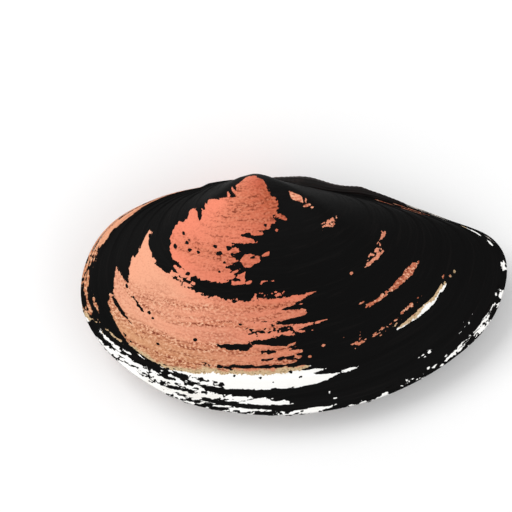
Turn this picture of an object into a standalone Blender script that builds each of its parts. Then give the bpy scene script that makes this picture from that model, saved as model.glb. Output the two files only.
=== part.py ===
"""A closed clam shell: two hollow valves and the horny ligament behind their beaks.

The shell is modelled flat: X runs from the rounded front end to the narrower siphon end, Y from
the belly edge up to the hinge, and Z out through the left valve, with the hinge axis along X.
One empty then lays it on its right valve, tilted the way its weight balances. Sizes are metres.
"""

import math

import bmesh
import bpy
import numpy as np
from mathutils import Euler, Vector
from mathutils.bvhtree import BVHTree

MM = 0.001

# The edge where the valves meet, in mm from the point where the beaks meet the hinge axis
EDGE_POINTS_MM = (
    (0.0, -0.3),  # hinge, under the beaks
    (-9.5, -0.9),
    (-20.0, -3.3),
    (-29.5, -8.2),
    (-35.0, -15.4),
    (-36.7, -24.3),  # front end
    (-33.7, -32.5),
    (-25.3, -40.9),
    (-12.6, -47.2),
    (5.3, -49.3),  # belly
    (23.2, -46.6),
    (37.9, -40.0),
    (48.9, -30.6),
    (53.1, -19.6),  # siphon end
    (50.2, -12.2),
    (40.0, -7.8),
    (25.3, -2.9),
    (11.6, -1.6),
)

# Growth: the edge shrinks towards the beak while it turns back about the hinge axis
CURL = 0.72  # radians of turn for each e-fold of growth
END_FULLNESS = 0.36  # extra swell at END_REACH from the beaks, growing with the cube of the way
END_REACH = 45 * MM
BEAK_RINGS = (0.03, 0.05, 0.075, 0.105, 0.14, 0.18)  # sizes modelled on the beak, as shares
VALVE_GAP = 0.3 * MM
WALL = 1.5 * MM
LEAST_ROOF_SLOPE = 0.45  # the wall is no thicker than WALL over this, measured along Z
ROOF_DROP = 8  # the higher, the later the roof of the hollow comes down to the lip
LIP_WIDTH = 1.1 * MM  # flat edge of the valve at the belly
HINGE_PLATE_WIDTH = 3.6 * MM
HINGE_PLATE_REACH = 15 * MM  # how far from the beaks the plate narrows into the lip

# Hinge teeth under the beaks, each in a socket of the other valve
TOOTH_PITCH = 1.7 * MM
TEETH = 4
TOOTH_MIDDLE = -2.2 * MM  # from the hinge axis, towards the belly
TOOTH_WIDTH, TOOTH_LENGTH = 0.9 * MM, 2.2 * MM
TOOTH_HEIGHT = 1.1 * MM  # above the plane where the valves meet
TOOTH_ROOT = 0.8 * MM  # how far it is sunk in its own valve
TOOTH_CLEARANCE = 0.3 * MM
TOOTH_TAPER = 0.55  # its tip's width over its root's
TOOTH_SIDES = 10

# Relief of the outer face
GROWTH_HALTS = (0.22, 0.34, 0.45, 0.56, 0.66, 0.75, 0.845, 0.925, 1.0)  # shares of full size
HALT_STEP = 0.28 * MM
HALT_SHARPNESS = 0.008  # share of full size over which a halt drops
HALT_FADE = 7 * MM  # the halts sink into the shell this near the hinge axis
KEEL_PLACE, KEEL_SPREAD, KEEL_HEIGHT = 0.70, 0.045, 0.7 * MM  # place: share of the way round
FURROW_PLACE, FURROW_SPREAD, FURROW_DEPTH = 0.80, 0.040, 0.8 * MM

# Ligament, along X behind the beaks
LIGAMENT_FRONT, LIGAMENT_BACK = 2.4 * MM, 20.0 * MM
LIGAMENT_WIDTH = 3.2 * MM
LIGAMENT_TOP = 1.15 * MM  # above the hinge axis
LIGAMENT_LEAST_HEIGHT = 1.0 * MM
LIGAMENT_SEAT_GAP = 0.3 * MM
LIGAMENT_BLUNT = 0.02  # share of the length over which each end is cut blunt
LIGAMENT_FORWARD = 0.7  # under 1, the thickest place lies nearer the beaks
LIGAMENT_FULLNESS = 0.5  # the lower, the fuller its ends

# How it lies: found by moving the centre of mass to its lowest place
LYING_ROLL = math.radians(9.2)
LYING_PITCH = math.radians(2.0)
WORN_DEPTH = 0.1 * MM  # rubbed off where the right valve touches the ground

# Mesh fineness
CURVE_STEPS = 50  # between two points of the edge, before it is divided evenly
WELD = 0.002 * MM
SHARP_ANGLE = math.radians(50)
AROUND = 60
CAVITY_RINGS = (0.0, 0.3, 0.55, 0.75, 0.88, 0.96, 1.0)  # shares of the way out to the inner edge
LIGAMENT_SECTIONS = 17
LIGAMENT_SIDES = 12


def clear_scene():
    for obj in list(bpy.data.objects):
        bpy.data.objects.remove(obj, do_unlink=True)


def finish(name, colour, roughness):
    """A Principled material of one colour."""
    material = bpy.data.materials.new(name)
    material.use_nodes = True
    shader = material.node_tree.nodes["Principled BSDF"]
    shader.inputs["Base Color"].default_value = (*colour, 1.0)
    shader.inputs["Roughness"].default_value = roughness
    shader.inputs["Metallic"].default_value = 0.0
    return material


def smooth_closed_curve(points, count):
    """Even steps along a closed Catmull-Rom curve through the points."""
    steps = np.linspace(0.0, 1.0, CURVE_STEPS, endpoint=False)[:, None]
    spans = []
    for i in range(len(points)):
        before, start, end, after = (points[(i + k) % len(points)] for k in (-1, 0, 1, 2))
        bend = 2 * before - 5 * start + 4 * end - after
        twist = 3 * start - before - 3 * end + after
        spans.append(start + 0.5 * ((end - before) * steps + bend * steps**2 + twist * steps**3))
    fine = np.concatenate([*spans, points[:1]])
    along = np.r_[0.0, np.cumsum(np.linalg.norm(np.diff(fine, axis=0), axis=1))]
    wanted = np.linspace(0.0, along[-1], count, endpoint=False)
    return np.column_stack([np.interp(wanted, along, fine[:, axis]) for axis in (0, 1)])


def ring_sizes():
    """Sizes of the modelled growth rings: each halt gets a crest and a foot, with rings between."""
    sizes = list(BEAK_RINGS)
    for earlier, later in zip(GROWTH_HALTS, GROWTH_HALTS[1:]):
        sizes += [earlier - HALT_SHARPNESS, earlier + HALT_SHARPNESS, (earlier + later) / 2]
    return np.array([*sizes, 1.0])


def relief(size, around, below_hinge):
    """Height added to the outer face: terraces between the halts, a low keel and a furrow."""
    halts = np.array([0.0, *GROWTH_HALTS])
    span = np.clip(np.searchsorted(halts, size, side="left"), 1, len(halts) - 1)
    rise = (size - halts[span - 1]) / (halts[span] - halts[span - 1])
    terraces = HALT_STEP * size * np.clip(rise, 0.0, 1.0) ** 2
    terraces = np.where(size < 1.0, terraces, 0.0) * np.clip(below_hinge / HALT_FADE, 0.0, 1.0)
    keel = KEEL_HEIGHT * np.exp(-(((around - KEEL_PLACE) / KEEL_SPREAD) ** 2))
    furrow = FURROW_DEPTH * np.exp(-(((around - FURROW_PLACE) / FURROW_SPREAD) ** 2))
    fade = np.sin(np.pi * np.clip(size, 0.0, 1.0)) * size
    return terraces + (keel - furrow) * fade


def outer_face(edge):
    """Growth rings of a left valve from the full edge to the beak, shape (rings, around, 3)."""
    size = ring_sizes()[::-1, None]
    turn = CURL * np.log(1.0 / size)
    x, y = edge[None, :, 0], edge[None, :, 1]
    swell = 1.0 + END_FULLNESS * np.abs(x / END_REACH) ** 3
    rings = np.stack(
        [size * x, size * y * np.cos(turn), -size * y * np.sin(turn) * swell], axis=-1
    )
    wrapped = np.concatenate([rings[:, -1:], rings, rings[:, :1]], axis=1)
    along = np.gradient(wrapped, axis=1)[:, 1:-1]
    inward = np.gradient(rings, axis=0)
    outward = np.cross(inward, along)
    outward /= np.maximum(np.linalg.norm(outward, axis=-1, keepdims=True), 1e-12)
    around = np.arange(AROUND)[None, :] / AROUND
    rings = rings + outward * relief(size, around, -y)[..., None]
    rings[..., 2] = np.maximum(rings[..., 2], 0.0) + VALVE_GAP / 2
    return rings


def inner_edge(edge):
    """The edge drawn in by the lip's width, and by the hinge plate's near the beaks."""
    tangent = np.roll(edge, -1, axis=0) - np.roll(edge, 1, axis=0)
    tangent /= np.linalg.norm(tangent, axis=1, keepdims=True)
    inward = np.column_stack([-tangent[:, 1], tangent[:, 0]])
    from_beaks = np.abs(edge[:, 0]) / HINGE_PLATE_REACH
    dorsal = np.clip(1.0 + edge[:, 1] / HINGE_PLATE_REACH, 0.0, 1.0)
    plate = np.exp(-(from_beaks**2)) * dorsal
    width = LIP_WIDTH + (HINGE_PLATE_WIDTH - LIP_WIDTH) * plate
    return edge + inward * width[:, None]


def face_tree(outer):
    """The outer face as a tree that rays can be cast at."""
    rings, around = outer.shape[:2]
    faces = []
    for ring in range(rings - 1):
        for i in range(around):
            start, end = ring * around + i, ring * around + (i + 1) % around
            faces.append((start, end, end + around, start + around))
    return BVHTree.FromPolygons([Vector(point) for point in outer.reshape(-1, 3)], faces)


def cavity(edge, dome):
    """Rings of the hollow, from its middle out to the inner edge, one wall inside the outer face."""
    inner = inner_edge(edge)
    middle = np.array([edge[:, 0].mean(), edge[:, 1].mean()])
    made = []
    for share in CAVITY_RINGS:
        flat = middle + (inner - middle) * share
        heights = []
        for x, y in flat:
            hit, normal, _, _ = dome.ray_cast(Vector((x, y, 0.0)), Vector((0.0, 0.0, 1.0)))
            roof = hit.z - WALL / max(abs(normal.z), LEAST_ROOF_SLOPE)
            heights.append(max(roof, 0.0) * (1.0 - share**ROOF_DROP) + VALVE_GAP / 2)
        made.append(np.column_stack([flat, heights]))
    return made


def loft(rings):
    """Joins closed rings of points, in order, into one solid with a closed end at each ring."""
    mesh = bmesh.new()
    loops = [[mesh.verts.new(point) for point in ring] for ring in rings]
    count = len(loops[0])
    for near, far in zip(loops, loops[1:]):
        for i in range(count):
            j = (i + 1) % count
            mesh.faces.new((near[i], near[j], far[j], far[i]))
    mesh.faces.new(loops[0])
    mesh.faces.new(loops[-1])
    bmesh.ops.remove_doubles(mesh, verts=mesh.verts, dist=WELD)
    bmesh.ops.recalc_face_normals(mesh, faces=mesh.faces)
    return mesh


def as_object(name, mesh, collection, material=None):
    """Makes an object of a mesh in the making, shaded smooth up to sharp edges."""
    data = bpy.data.meshes.new(name)
    mesh.to_mesh(data)
    mesh.free()
    data.shade_smooth()
    data.set_sharp_from_angle(angle=SHARP_ANGLE)
    if material:
        data.materials.append(material)
    obj = bpy.data.objects.new(name, data)
    collection.objects.link(obj)
    return obj


def ground_direction():
    """Which way is down, in the frame in which the shell is modelled."""
    lying = Euler((LYING_ROLL, LYING_PITCH, 0.0)).to_matrix()
    return lying.transposed() @ Vector((0.0, 0.0, -1.0))


def rub_flat(mesh):
    """Wears the lowest spot of a valve down to a small flat, square to the ground."""
    down = ground_direction()
    lowest = max(vertex.co.dot(down) for vertex in mesh.verts)
    cut = bmesh.ops.bisect_plane(
        mesh,
        geom=[*mesh.verts, *mesh.edges, *mesh.faces],
        plane_co=down * (lowest - WORN_DEPTH),
        plane_no=down,
        clear_outer=True,
    )
    rim = [part for part in cut["geom_cut"] if isinstance(part, bmesh.types.BMEdge)]
    bmesh.ops.edgeloop_fill(mesh, edges=rim)
    bmesh.ops.recalc_face_normals(mesh, faces=mesh.faces)


def valve(name, side, edge, outer, material, collection):
    """One valve: side is 1 for the left valve and -1 for the right, on which the shell lies."""
    rings = [*cavity(edge, face_tree(outer)), *outer]
    mesh = loft([ring * np.array([1.0, 1.0, side]) for ring in rings])
    if side < 0:
        rub_flat(mesh)
    return as_object(name, mesh, collection, material)


def tooth(name, x, side, clearance, collection):
    """A blunt wedge on the hinge plate of one valve, or the larger wedge that cuts its socket."""
    height = TOOTH_ROOT + TOOTH_HEIGHT + clearance
    place = Vector((x, TOOTH_MIDDLE, side * (TOOTH_ROOT - height / 2)))
    stretch = Vector((TOOTH_WIDTH / 2 + clearance, TOOTH_LENGTH / 2 + clearance, -side * height))
    mesh = bmesh.new()
    bmesh.ops.create_cone(
        mesh, cap_ends=True, segments=TOOTH_SIDES, radius1=1.0, radius2=TOOTH_TAPER, depth=1.0
    )
    bmesh.ops.scale(mesh, vec=stretch, verts=mesh.verts)
    bmesh.ops.translate(mesh, vec=place, verts=mesh.verts)
    bmesh.ops.recalc_face_normals(mesh, faces=mesh.faces)
    obj = as_object(name, mesh, collection)
    obj.hide_render = True
    obj.display_type = "WIRE"
    return obj


def join_by(valve_object, operation, other):
    """Adds a tooth to a valve, or cuts a socket in it."""
    step = valve_object.modifiers.new(f"{operation.lower()}_{other.name}", "BOOLEAN")
    step.operation = operation
    step.object = other


def hinge_teeth(left, right, cutters):
    """Four teeth in a row under the beaks, which belong to the right and left valve in turn."""
    made = []
    for i in range(TEETH):
        x = TOOTH_PITCH * (i - (TEETH - 1) / 2)
        own, other, side = (right, left, -1) if i % 2 == 0 else (left, right, 1)
        wedge = tooth(f"tooth_{i + 1}", x, side, 0.0, cutters)
        socket = tooth(f"socket_{i + 1}", x, side, TOOTH_CLEARANCE, cutters)
        join_by(own, "UNION", wedge)
        join_by(other, "DIFFERENCE", socket)
        made += [wedge, socket]
    return made


def hinge_line_height(dome, x):
    """How high the valves' hinge edges reach under the ligament at this x."""
    heights = []
    for z in np.linspace(VALVE_GAP, LIGAMENT_WIDTH / 2, 7):
        hit, _, _, _ = dome.ray_cast(Vector((x, LIGAMENT_BACK, z)), Vector((0.0, -1.0, 0.0)))
        if hit:
            heights.append(hit.y)
    return max(heights)


def ligament(outer, material, collection):
    """A spindle, arched in section, that bridges both valves on the hinge line."""
    dome = face_tree(outer)
    angles = np.linspace(0.0, 2 * math.pi, LIGAMENT_SIDES, endpoint=False)
    rings = []
    for share in np.linspace(0.0, 1.0, LIGAMENT_SECTIONS):
        x = LIGAMENT_FRONT + (LIGAMENT_BACK - LIGAMENT_FRONT) * share
        seat = hinge_line_height(dome, x) + LIGAMENT_SEAT_GAP
        way = min(max(share, LIGAMENT_BLUNT), 1.0 - LIGAMENT_BLUNT) ** LIGAMENT_FORWARD
        swell = math.sin(math.pi * way) ** LIGAMENT_FULLNESS
        height = max(LIGAMENT_TOP - seat, LIGAMENT_LEAST_HEIGHT) * swell
        across = LIGAMENT_WIDTH / 2 * swell * np.sin(angles)
        up = seat + height * (0.5 + 0.5 * np.cos(angles))
        rings.append(np.column_stack([np.full_like(angles, x), up, across]))
    return as_object("ligament", loft(rings), collection, material)


def lay_down(parts, helpers):
    """Turns the parts to the lying pose, lowest point on the ground and box centred over it."""
    pose = bpy.data.objects.new("lying_pose", None)
    parts[0].users_collection[0].objects.link(pose)
    pose.rotation_euler = (LYING_ROLL, LYING_PITCH, 0.0)
    for obj in [*parts, *helpers]:
        obj.parent = pose
    bpy.context.view_layer.update()
    points = np.array([part.matrix_world @ v.co for part in parts for v in part.data.vertices])
    low, high = points.min(axis=0), points.max(axis=0)
    pose.location = (-(low[0] + high[0]) / 2, -(low[1] + high[1]) / 2, -low[2])


def new_collection(name):
    """A collection in the scene."""
    collection = bpy.data.collections.new(name)
    bpy.context.scene.collection.children.link(collection)
    return collection


def main():
    clear_scene()
    shell = new_collection("clam_shell")
    cutters = new_collection("hinge_cutters")
    edge = smooth_closed_curve(np.array(EDGE_POINTS_MM) * MM, AROUND)
    outer = outer_face(edge)
    left_finish = finish("left_valve_shell", (0.80, 0.27, 0.17), 0.45)
    right_finish = finish("right_valve_shell", (0.80, 0.27, 0.17), 0.45)
    horn = finish("ligament_horn", (0.10, 0.05, 0.02), 0.5)
    left = valve("left_valve", 1, edge, outer, left_finish, shell)
    right = valve("right_valve", -1, edge, outer, right_finish, shell)
    band = ligament(outer, horn, shell)
    wedges = hinge_teeth(left, right, cutters)
    lay_down([left, right, band], wedges)


main()
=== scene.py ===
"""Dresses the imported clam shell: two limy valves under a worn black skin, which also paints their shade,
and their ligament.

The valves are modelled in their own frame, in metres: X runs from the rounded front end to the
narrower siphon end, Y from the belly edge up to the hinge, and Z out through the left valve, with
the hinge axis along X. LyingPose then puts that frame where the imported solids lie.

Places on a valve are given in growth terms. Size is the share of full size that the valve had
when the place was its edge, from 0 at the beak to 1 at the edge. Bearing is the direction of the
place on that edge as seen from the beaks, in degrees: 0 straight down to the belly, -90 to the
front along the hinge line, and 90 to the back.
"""

from __future__ import annotations

import logging
import math
from dataclasses import dataclass
from enum import Enum, IntEnum

import bpy
import numpy as np
from mathutils import Euler, Matrix, Vector


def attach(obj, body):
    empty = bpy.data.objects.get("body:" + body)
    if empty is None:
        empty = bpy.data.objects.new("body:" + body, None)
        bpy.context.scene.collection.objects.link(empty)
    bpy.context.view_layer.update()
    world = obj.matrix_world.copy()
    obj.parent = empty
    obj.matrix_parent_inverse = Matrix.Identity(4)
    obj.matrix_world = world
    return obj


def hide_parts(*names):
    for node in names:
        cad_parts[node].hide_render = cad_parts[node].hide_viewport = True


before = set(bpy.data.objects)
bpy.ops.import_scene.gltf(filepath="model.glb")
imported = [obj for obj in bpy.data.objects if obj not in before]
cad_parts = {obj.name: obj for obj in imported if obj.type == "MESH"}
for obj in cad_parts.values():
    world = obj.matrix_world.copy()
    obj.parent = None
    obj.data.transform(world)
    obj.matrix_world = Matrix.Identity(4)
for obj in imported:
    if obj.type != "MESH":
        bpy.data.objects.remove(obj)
log = logging.getLogger("clam_shell")

MM = 0.001
Colour = tuple[float, float, float]
Place = tuple[float, float, float]
Stops = tuple[tuple[float, float], ...]
GROWTH_MAP = "growth"


class Side(Enum):
    """Which valve: the sign is that of Z in the valves' frame."""

    LEFT = 1
    RIGHT = -1


class SeedStep(IntEnum):
    """What is added to a valve's seed for each kind of random draw."""

    RELIEF = 20
    DISC_EDGE = 40
    TINTS = 60
    FLAKE_SPOTS = 80
    FLAKE_SHAPES = 90


def from_screen(red: int, green: int, blue: int) -> Colour:
    """Turns a screen colour of 0 to 255 into linear light.

    Args:
        red: The red value on a screen.
        green: The green value on a screen.
        blue: The blue value on a screen.

    Returns:
        The colour as linear light, by the usual screen curve.
    """
    shares = (value / 255.0 for value in (red, green, blue))
    return tuple(v / 12.92 if v <= 0.04045 else ((v + 0.055) / 1.055) ** 2.4 for v in shares)


def smooth_step(value: np.ndarray, low: float, high: float) -> np.ndarray:
    """Rises smoothly from 0 at low to 1 at high: t * t * (3 - 2t), with t the clamped share."""
    share = np.clip((value - low) / (high - low), 0.0, 1.0)
    return share * share * (3.0 - 2.0 * share)


def along_stops(value: np.ndarray, stops: Stops) -> np.ndarray:
    """Reads a curve given by its stops, straight between them.

    Args:
        value: Where to read it.
        stops: Pairs of place and height, in rising order of place.

    Returns:
        The height at each value.
    """
    places, heights = zip(*stops)
    return np.interp(value, places, heights)


def lattice_noise(around: np.ndarray, size: np.ndarray, cells: tuple[int, int], seed: int) -> np.ndarray:
    """Smooth noise from -1 to 1 that closes on itself round the valve.

    Random heights stand on a lattice of cells round by cells out, and each point takes the
    heights at its four corners, blended by t * t * (3 - 2t) in both directions.

    Args:
        around: Share of the way round the edge, any value, with a period of 1.
        size: Growth size, from 0 to about 1.1.
        cells: Lattice cells round the edge, and from the beak to the edge.
        seed: Seed of the random heights.

    Returns:
        The noise at each point.
    """
    round_cells, out_cells = cells
    heights = np.random.default_rng(seed).uniform(-1.0, 1.0, (out_cells * 2, round_cells))
    x = np.mod(around, 1.0) * round_cells
    y = np.clip(size, 0.0, 1.5) * out_cells
    column, row = np.floor(x).astype(int), np.floor(y).astype(int)
    across, out = x - column, y - row
    across, out = across**2 * (3 - 2 * across), out**2 * (3 - 2 * out)
    column, after = column % round_cells, (column + 1) % round_cells
    near = heights[row, column] * (1 - across) + heights[row, after] * across
    far = heights[row + 1, column] * (1 - across) + heights[row + 1, after] * across
    return near * (1 - out) + far * out


@dataclass(frozen=True)
class ShellForm:
    """The growth rule that both valves follow, with the sizes of the solid model."""

    edge_points_mm: Stops = (
        (0.0, -0.3),
        (-9.5, -0.9),
        (-20.0, -3.3),
        (-29.5, -8.2),
        (-35.0, -15.4),
        (-36.7, -24.3),
        (-33.7, -32.5),
        (-25.3, -40.9),
        (-12.6, -47.2),
        (5.3, -49.3),
        (23.2, -46.6),
        (37.9, -40.0),
        (48.9, -30.6),
        (53.1, -19.6),
        (50.2, -12.2),
        (40.0, -7.8),
        (25.3, -2.9),
        (11.6, -1.6),
    )
    curl: float = 0.72
    end_fullness: float = 0.36
    end_reach: float = 45 * MM
    seam: float = 0.06 * MM  # between the valves, where the solid model leaves more
    wall: float = 1.5 * MM
    least_roof_slope: float = 0.45
    lip_width: float = 1.1 * MM
    hinge_plate_width: float = 3.6 * MM
    hinge_plate_reach: float = 15 * MM
    curve_steps: int = 120
    roof_halvings: int = 30
    hinge_bearing_reach: float = 10 * MM  # this near the beaks, bearing runs evenly to 90
    hinge_bearing_gain: float = 6.0  # degrees over that reach

    def fine_edge(self) -> tuple[np.ndarray, np.ndarray]:
        """Runs a closed Catmull-Rom curve through the edge points.

        Between points b and c, with a before and d after them, the curve at t is
        (2b + (c - a)t + (2a - 5b + 4c - d)tt + (3b - a - 3c + d)ttt) / 2.

        Returns:
            The curve's points, the first one repeated at the end, and the way along to each.
        """
        points = np.array(self.edge_points_mm) * MM
        before, start, end, after = (np.roll(points, -k, axis=0)[:, None] for k in (-1, 0, 1, 2))
        t = np.linspace(0.0, 1.0, self.curve_steps, endpoint=False)[None, :, None]
        bend = 2 * before - 5 * start + 4 * end - after
        twist = 3 * start - before - 3 * end + after
        curve = (start + 0.5 * ((end - before) * t + bend * t**2 + twist * t**3)).reshape(-1, 2)
        curve = np.concatenate([curve, curve[:1]])
        along = np.r_[0.0, np.cumsum(np.linalg.norm(np.diff(curve, axis=0), axis=1))]
        return curve, along

    def edge_length(self) -> float:
        """The length of the full edge."""
        return float(self.fine_edge()[1][-1])

    def edge_at(self, around: np.ndarray) -> np.ndarray:
        """Points of the full edge.

        Args:
            around: Share of the way round from the hinge, forwards, with a period of 1.

        Returns:
            The points in X and Y, in the shape of around with one axis more.
        """
        curve, along = self.fine_edge()
        way = np.mod(around, 1.0) * along[-1]
        return np.stack([np.interp(way, along, curve[:, k]) for k in (0, 1)], axis=-1)

    def bearing_of(self, edge: np.ndarray) -> np.ndarray:
        """The bearing of points of the full edge.

        It is the angle of (X, -Y), but next to the beaks, where the edge runs through the
        hinge axis, it changes evenly with X.

        Args:
            edge: Points of the full edge, in X and Y.

        Returns:
            The bearings in degrees.
        """
        x, y = edge[..., 0], edge[..., 1]
        plain = np.degrees(np.arctan2(x, -y))
        reach = self.hinge_bearing_reach
        by_hinge = np.sign(x) * (90.0 - self.hinge_bearing_gain * np.abs(x) / reach)
        return np.where((np.abs(x) < reach) & (y > -2 * MM), by_hinge, plain)

    def turn(self, size: np.ndarray) -> np.ndarray:
        """How far an earlier edge has turned back about the hinge axis: curl * ln(1 / size)."""
        return self.curl * np.log(1.0 / size)

    def swell(self, x: np.ndarray) -> np.ndarray:
        """Extra swell towards both ends: 1 + fullness * |x / reach| cubed."""
        return 1.0 + self.end_fullness * np.abs(x / self.end_reach) ** 3

    def place(self, edge: np.ndarray, size: np.ndarray) -> np.ndarray:
        """Points of the left valve's outer face, with no relief.

        An earlier edge is the full edge shrunk to size and turned back about the hinge axis, so
        X = s x, Y = s y cos(turn) and Z = -s y sin(turn) swell(x).

        Args:
            edge: Points of the full edge.
            size: Growth sizes, of the shape of edge without its last axis.

        Returns:
            The points in the valves' frame.
        """
        x, y, turn = edge[..., 0], edge[..., 1], self.turn(size)
        return np.stack(
            [size * x, size * y * np.cos(turn), -size * y * np.sin(turn) * self.swell(x)],
            axis=-1,
        )

    def outward(self, edge_around: np.ndarray, size: np.ndarray) -> np.ndarray:
        """The outer face's unit normals, as the cross product of its slopes in and along.

        Args:
            edge_around: Shares of the way round the edge.
            size: Growth sizes.

        Returns:
            The unit normals of the left valve.
        """
        step = 1e-4
        here = self.place(self.edge_at(edge_around), size)
        along = self.place(self.edge_at(edge_around + step), size) - here
        inward = self.place(self.edge_at(edge_around), size * (1.0 - step)) - here
        normal = np.cross(inward, along)
        return normal / np.maximum(np.linalg.norm(normal, axis=-1, keepdims=True), 1e-15)

    def roof(self, plan: np.ndarray) -> np.ndarray:
        """Height of the outer face over points of the seam plane.

        The size s at which a growing edge passes over a point (X, Y) is found by halving:
        (X / s, Y / (s cos(turn))) then lies on the full edge. Its height is
        -Y tan(turn) swell(X / s).

        Args:
            plan: Points in X and Y, inside the edge and below the hinge axis.

        Returns:
            The height over each point.
        """
        curve, _ = self.fine_edge()
        middle = curve.mean(axis=0)
        rays = curve[:-1] - middle
        angles = np.arctan2(rays[:, 1], rays[:, 0])
        order = np.argsort(angles)
        angles, reach = angles[order], np.linalg.norm(rays[order], axis=1)
        x, y = plan[..., 0], np.minimum(plan[..., 1], -0.05 * MM)
        low = np.full(x.shape, math.exp(-math.pi / 2 / self.curl) * 1.001)
        high = np.ones(x.shape)
        for _ in range(self.roof_halvings):
            size = (low + high) / 2
            ray_x = x / size - middle[0]
            ray_y = y / (size * np.cos(self.turn(size))) - middle[1]
            angle = np.arctan2(ray_y, ray_x)
            outside = np.hypot(ray_x, ray_y) > np.interp(angle, angles, reach, period=2 * math.pi)
            low, high = np.where(outside, size, low), np.where(outside, high, size)
        return -y * np.tan(self.turn(size)) * self.swell(x / size)


MM_PER_SIZE = 50.0  # across the growth lines, for a size step of 1
MM_PER_DEGREE = 0.85  # along them at full size, for a degree of bearing
NO_DEPTH = -9.0  # how deep inside its strips a place is where there are none


@dataclass(frozen=True)
class SkinAndShadeBand:
    """A strip of the black skin and painted shade that follows the growth lines, or a bare strip in it."""

    route: tuple[tuple[float, float, float], ...]  # bearing, inner size and outer size
    raggedness: float = 0.5  # mm by which its long sides wander
    end_raggedness: float = 1.5  # mm by which its ends do
    fullest: float = 1.8  # near 0, the strip breaks up into flecks

    def depth(self, bearing: np.ndarray, size: np.ndarray) -> np.ndarray:
        """How deep inside the strip a place is: the least way to a side or an end.

        Args:
            bearing: Bearings in degrees.
            size: Growth sizes.

        Returns:
            The depth in units of the strip's raggedness, under 0 outside it.
        """
        stops = np.array(self.route)
        inner = np.interp(bearing, stops[:, 0], stops[:, 1])
        outer = np.interp(bearing, stops[:, 0], stops[:, 2])
        across = np.minimum(size - inner, outer - size) * MM_PER_SIZE / self.raggedness
        ends = np.minimum(bearing - stops[0, 0], stops[-1, 0] - bearing)
        along = ends * MM_PER_DEGREE * size / self.end_raggedness
        return np.minimum(np.minimum(across, along), self.fullest)


@dataclass(frozen=True)
class SkinAndShadeSpeck:
    """A small round remnant of the black skin and painted shade, or a hole in it, longer along the growth
    lines.
    """

    bearing: float
    size: float
    radius: float  # mm
    drawn_out: float = 1.33  # its length along the growth lines for a width of 1

    def depth(self, bearing: np.ndarray, size: np.ndarray) -> np.ndarray:
        """How deep inside the speck a place is: it falls evenly from 2 in the speck's middle.

        Args:
            bearing: Bearings in degrees.
            size: Growth sizes.

        Returns:
            The depth, under 0 outside the speck.
        """
        along = (bearing - self.bearing) * MM_PER_DEGREE * size / self.drawn_out
        across = (size - self.size) * MM_PER_SIZE
        return 2.0 * (1.0 - np.hypot(along, across) / self.radius)


@dataclass(frozen=True)
class SkinAndShadeField:
    """A wide field of the black skin and painted shade, on one side of a limit that changes with size."""

    limit: Stops  # size and bearing
    towards_back: bool
    raggedness: float = 1.6  # mm

    def depth(self, bearing: np.ndarray, size: np.ndarray) -> np.ndarray:
        """How deep inside the field a place is: the way along a growth line from its limit.

        Args:
            bearing: Bearings in degrees.
            size: Growth sizes.

        Returns:
            The depth in units of the field's raggedness, under 0 outside it.
        """
        past = bearing - along_stops(size, self.limit)
        signed = past if self.towards_back else -past
        return signed * MM_PER_DEGREE * size / self.raggedness


@dataclass(frozen=True)
class SkinAndShadePattern:
    """Where the black skin, which also paints shade, still covers a valve, and where the coloured disc ends.
    """

    back: SkinAndShadeField
    front: SkinAndShadeField
    strips: tuple[SkinAndShadeBand, ...]
    bare: tuple[SkinAndShadeBand | SkinAndShadeSpeck, ...]
    dashes: tuple[SkinAndShadeBand | SkinAndShadeSpeck, ...]  # skin and painted shade that lie in the bare strips
    disc_edge: Stops  # bearing and size
    rays: Stops  # bearing and strength of the dark red rays
    calm_beak: float = 2.6  # how much less ragged the edges of the skin and painted shade are near the beak

    def cover(self, way: np.ndarray, bearing: np.ndarray, size: np.ndarray, seed: int) -> np.ndarray:
        """How surely the black skin and painted shade cover a place: over 0 where they do.

        The greatest depth in any field or strip, less the bare strips, is shifted by streaky
        noise whose cells are several times longer along the growth lines than across them.

        Args:
            way: Share of the way round the edge.
            bearing: Bearings in degrees.
            size: Growth sizes.
            seed: Seed of the streaks.

        Returns:
            The cover, from about -3 to 3.
        """
        deepest = [
            np.max([part.depth(bearing, size) for part in parts], axis=0, initial=NO_DEPTH)
            for parts in ((self.back, self.front, *self.strips), self.bare, self.dashes)
        ]
        cover = np.maximum(np.minimum(deepest[0], -deepest[1]), deepest[2])
        cover = cover * (1.0 + self.calm_beak * (1.0 - smooth_step(size, 0.12, 0.38)))
        streaks = ((0.35, 30, 62), (0.5, 80, 105), (0.4, 170, 170))
        lines = line_size(bearing, size)
        for i, (share, round_cells, out_cells) in enumerate(streaks):
            cells = (round_cells, out_cells)
            cover = cover + share * lattice_noise(way + 0.3 * lines, lines, cells, seed + i)
        return np.clip(cover, -1.8, 1.8)

    def past_disc(self, way: np.ndarray, bearing: np.ndarray, size: np.ndarray, seed: int) -> np.ndarray:
        """How far past the edge of the coloured disc a place is, frayed by two fine noises.

        Args:
            way: Share of the way round the edge.
            bearing: Bearings in degrees.
            size: Growth sizes.
            seed: Seed of the fraying.

        Returns:
            The way in millimetres, under 0 on the disc.
        """
        frayed = 0.008 * lattice_noise(way, size, (90, 30), seed)
        frayed = frayed + 0.005 * lattice_noise(way, size, (300, 60), seed + 1)
        return (size - along_stops(bearing, self.disc_edge) + frayed) * MM_PER_SIZE


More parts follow.
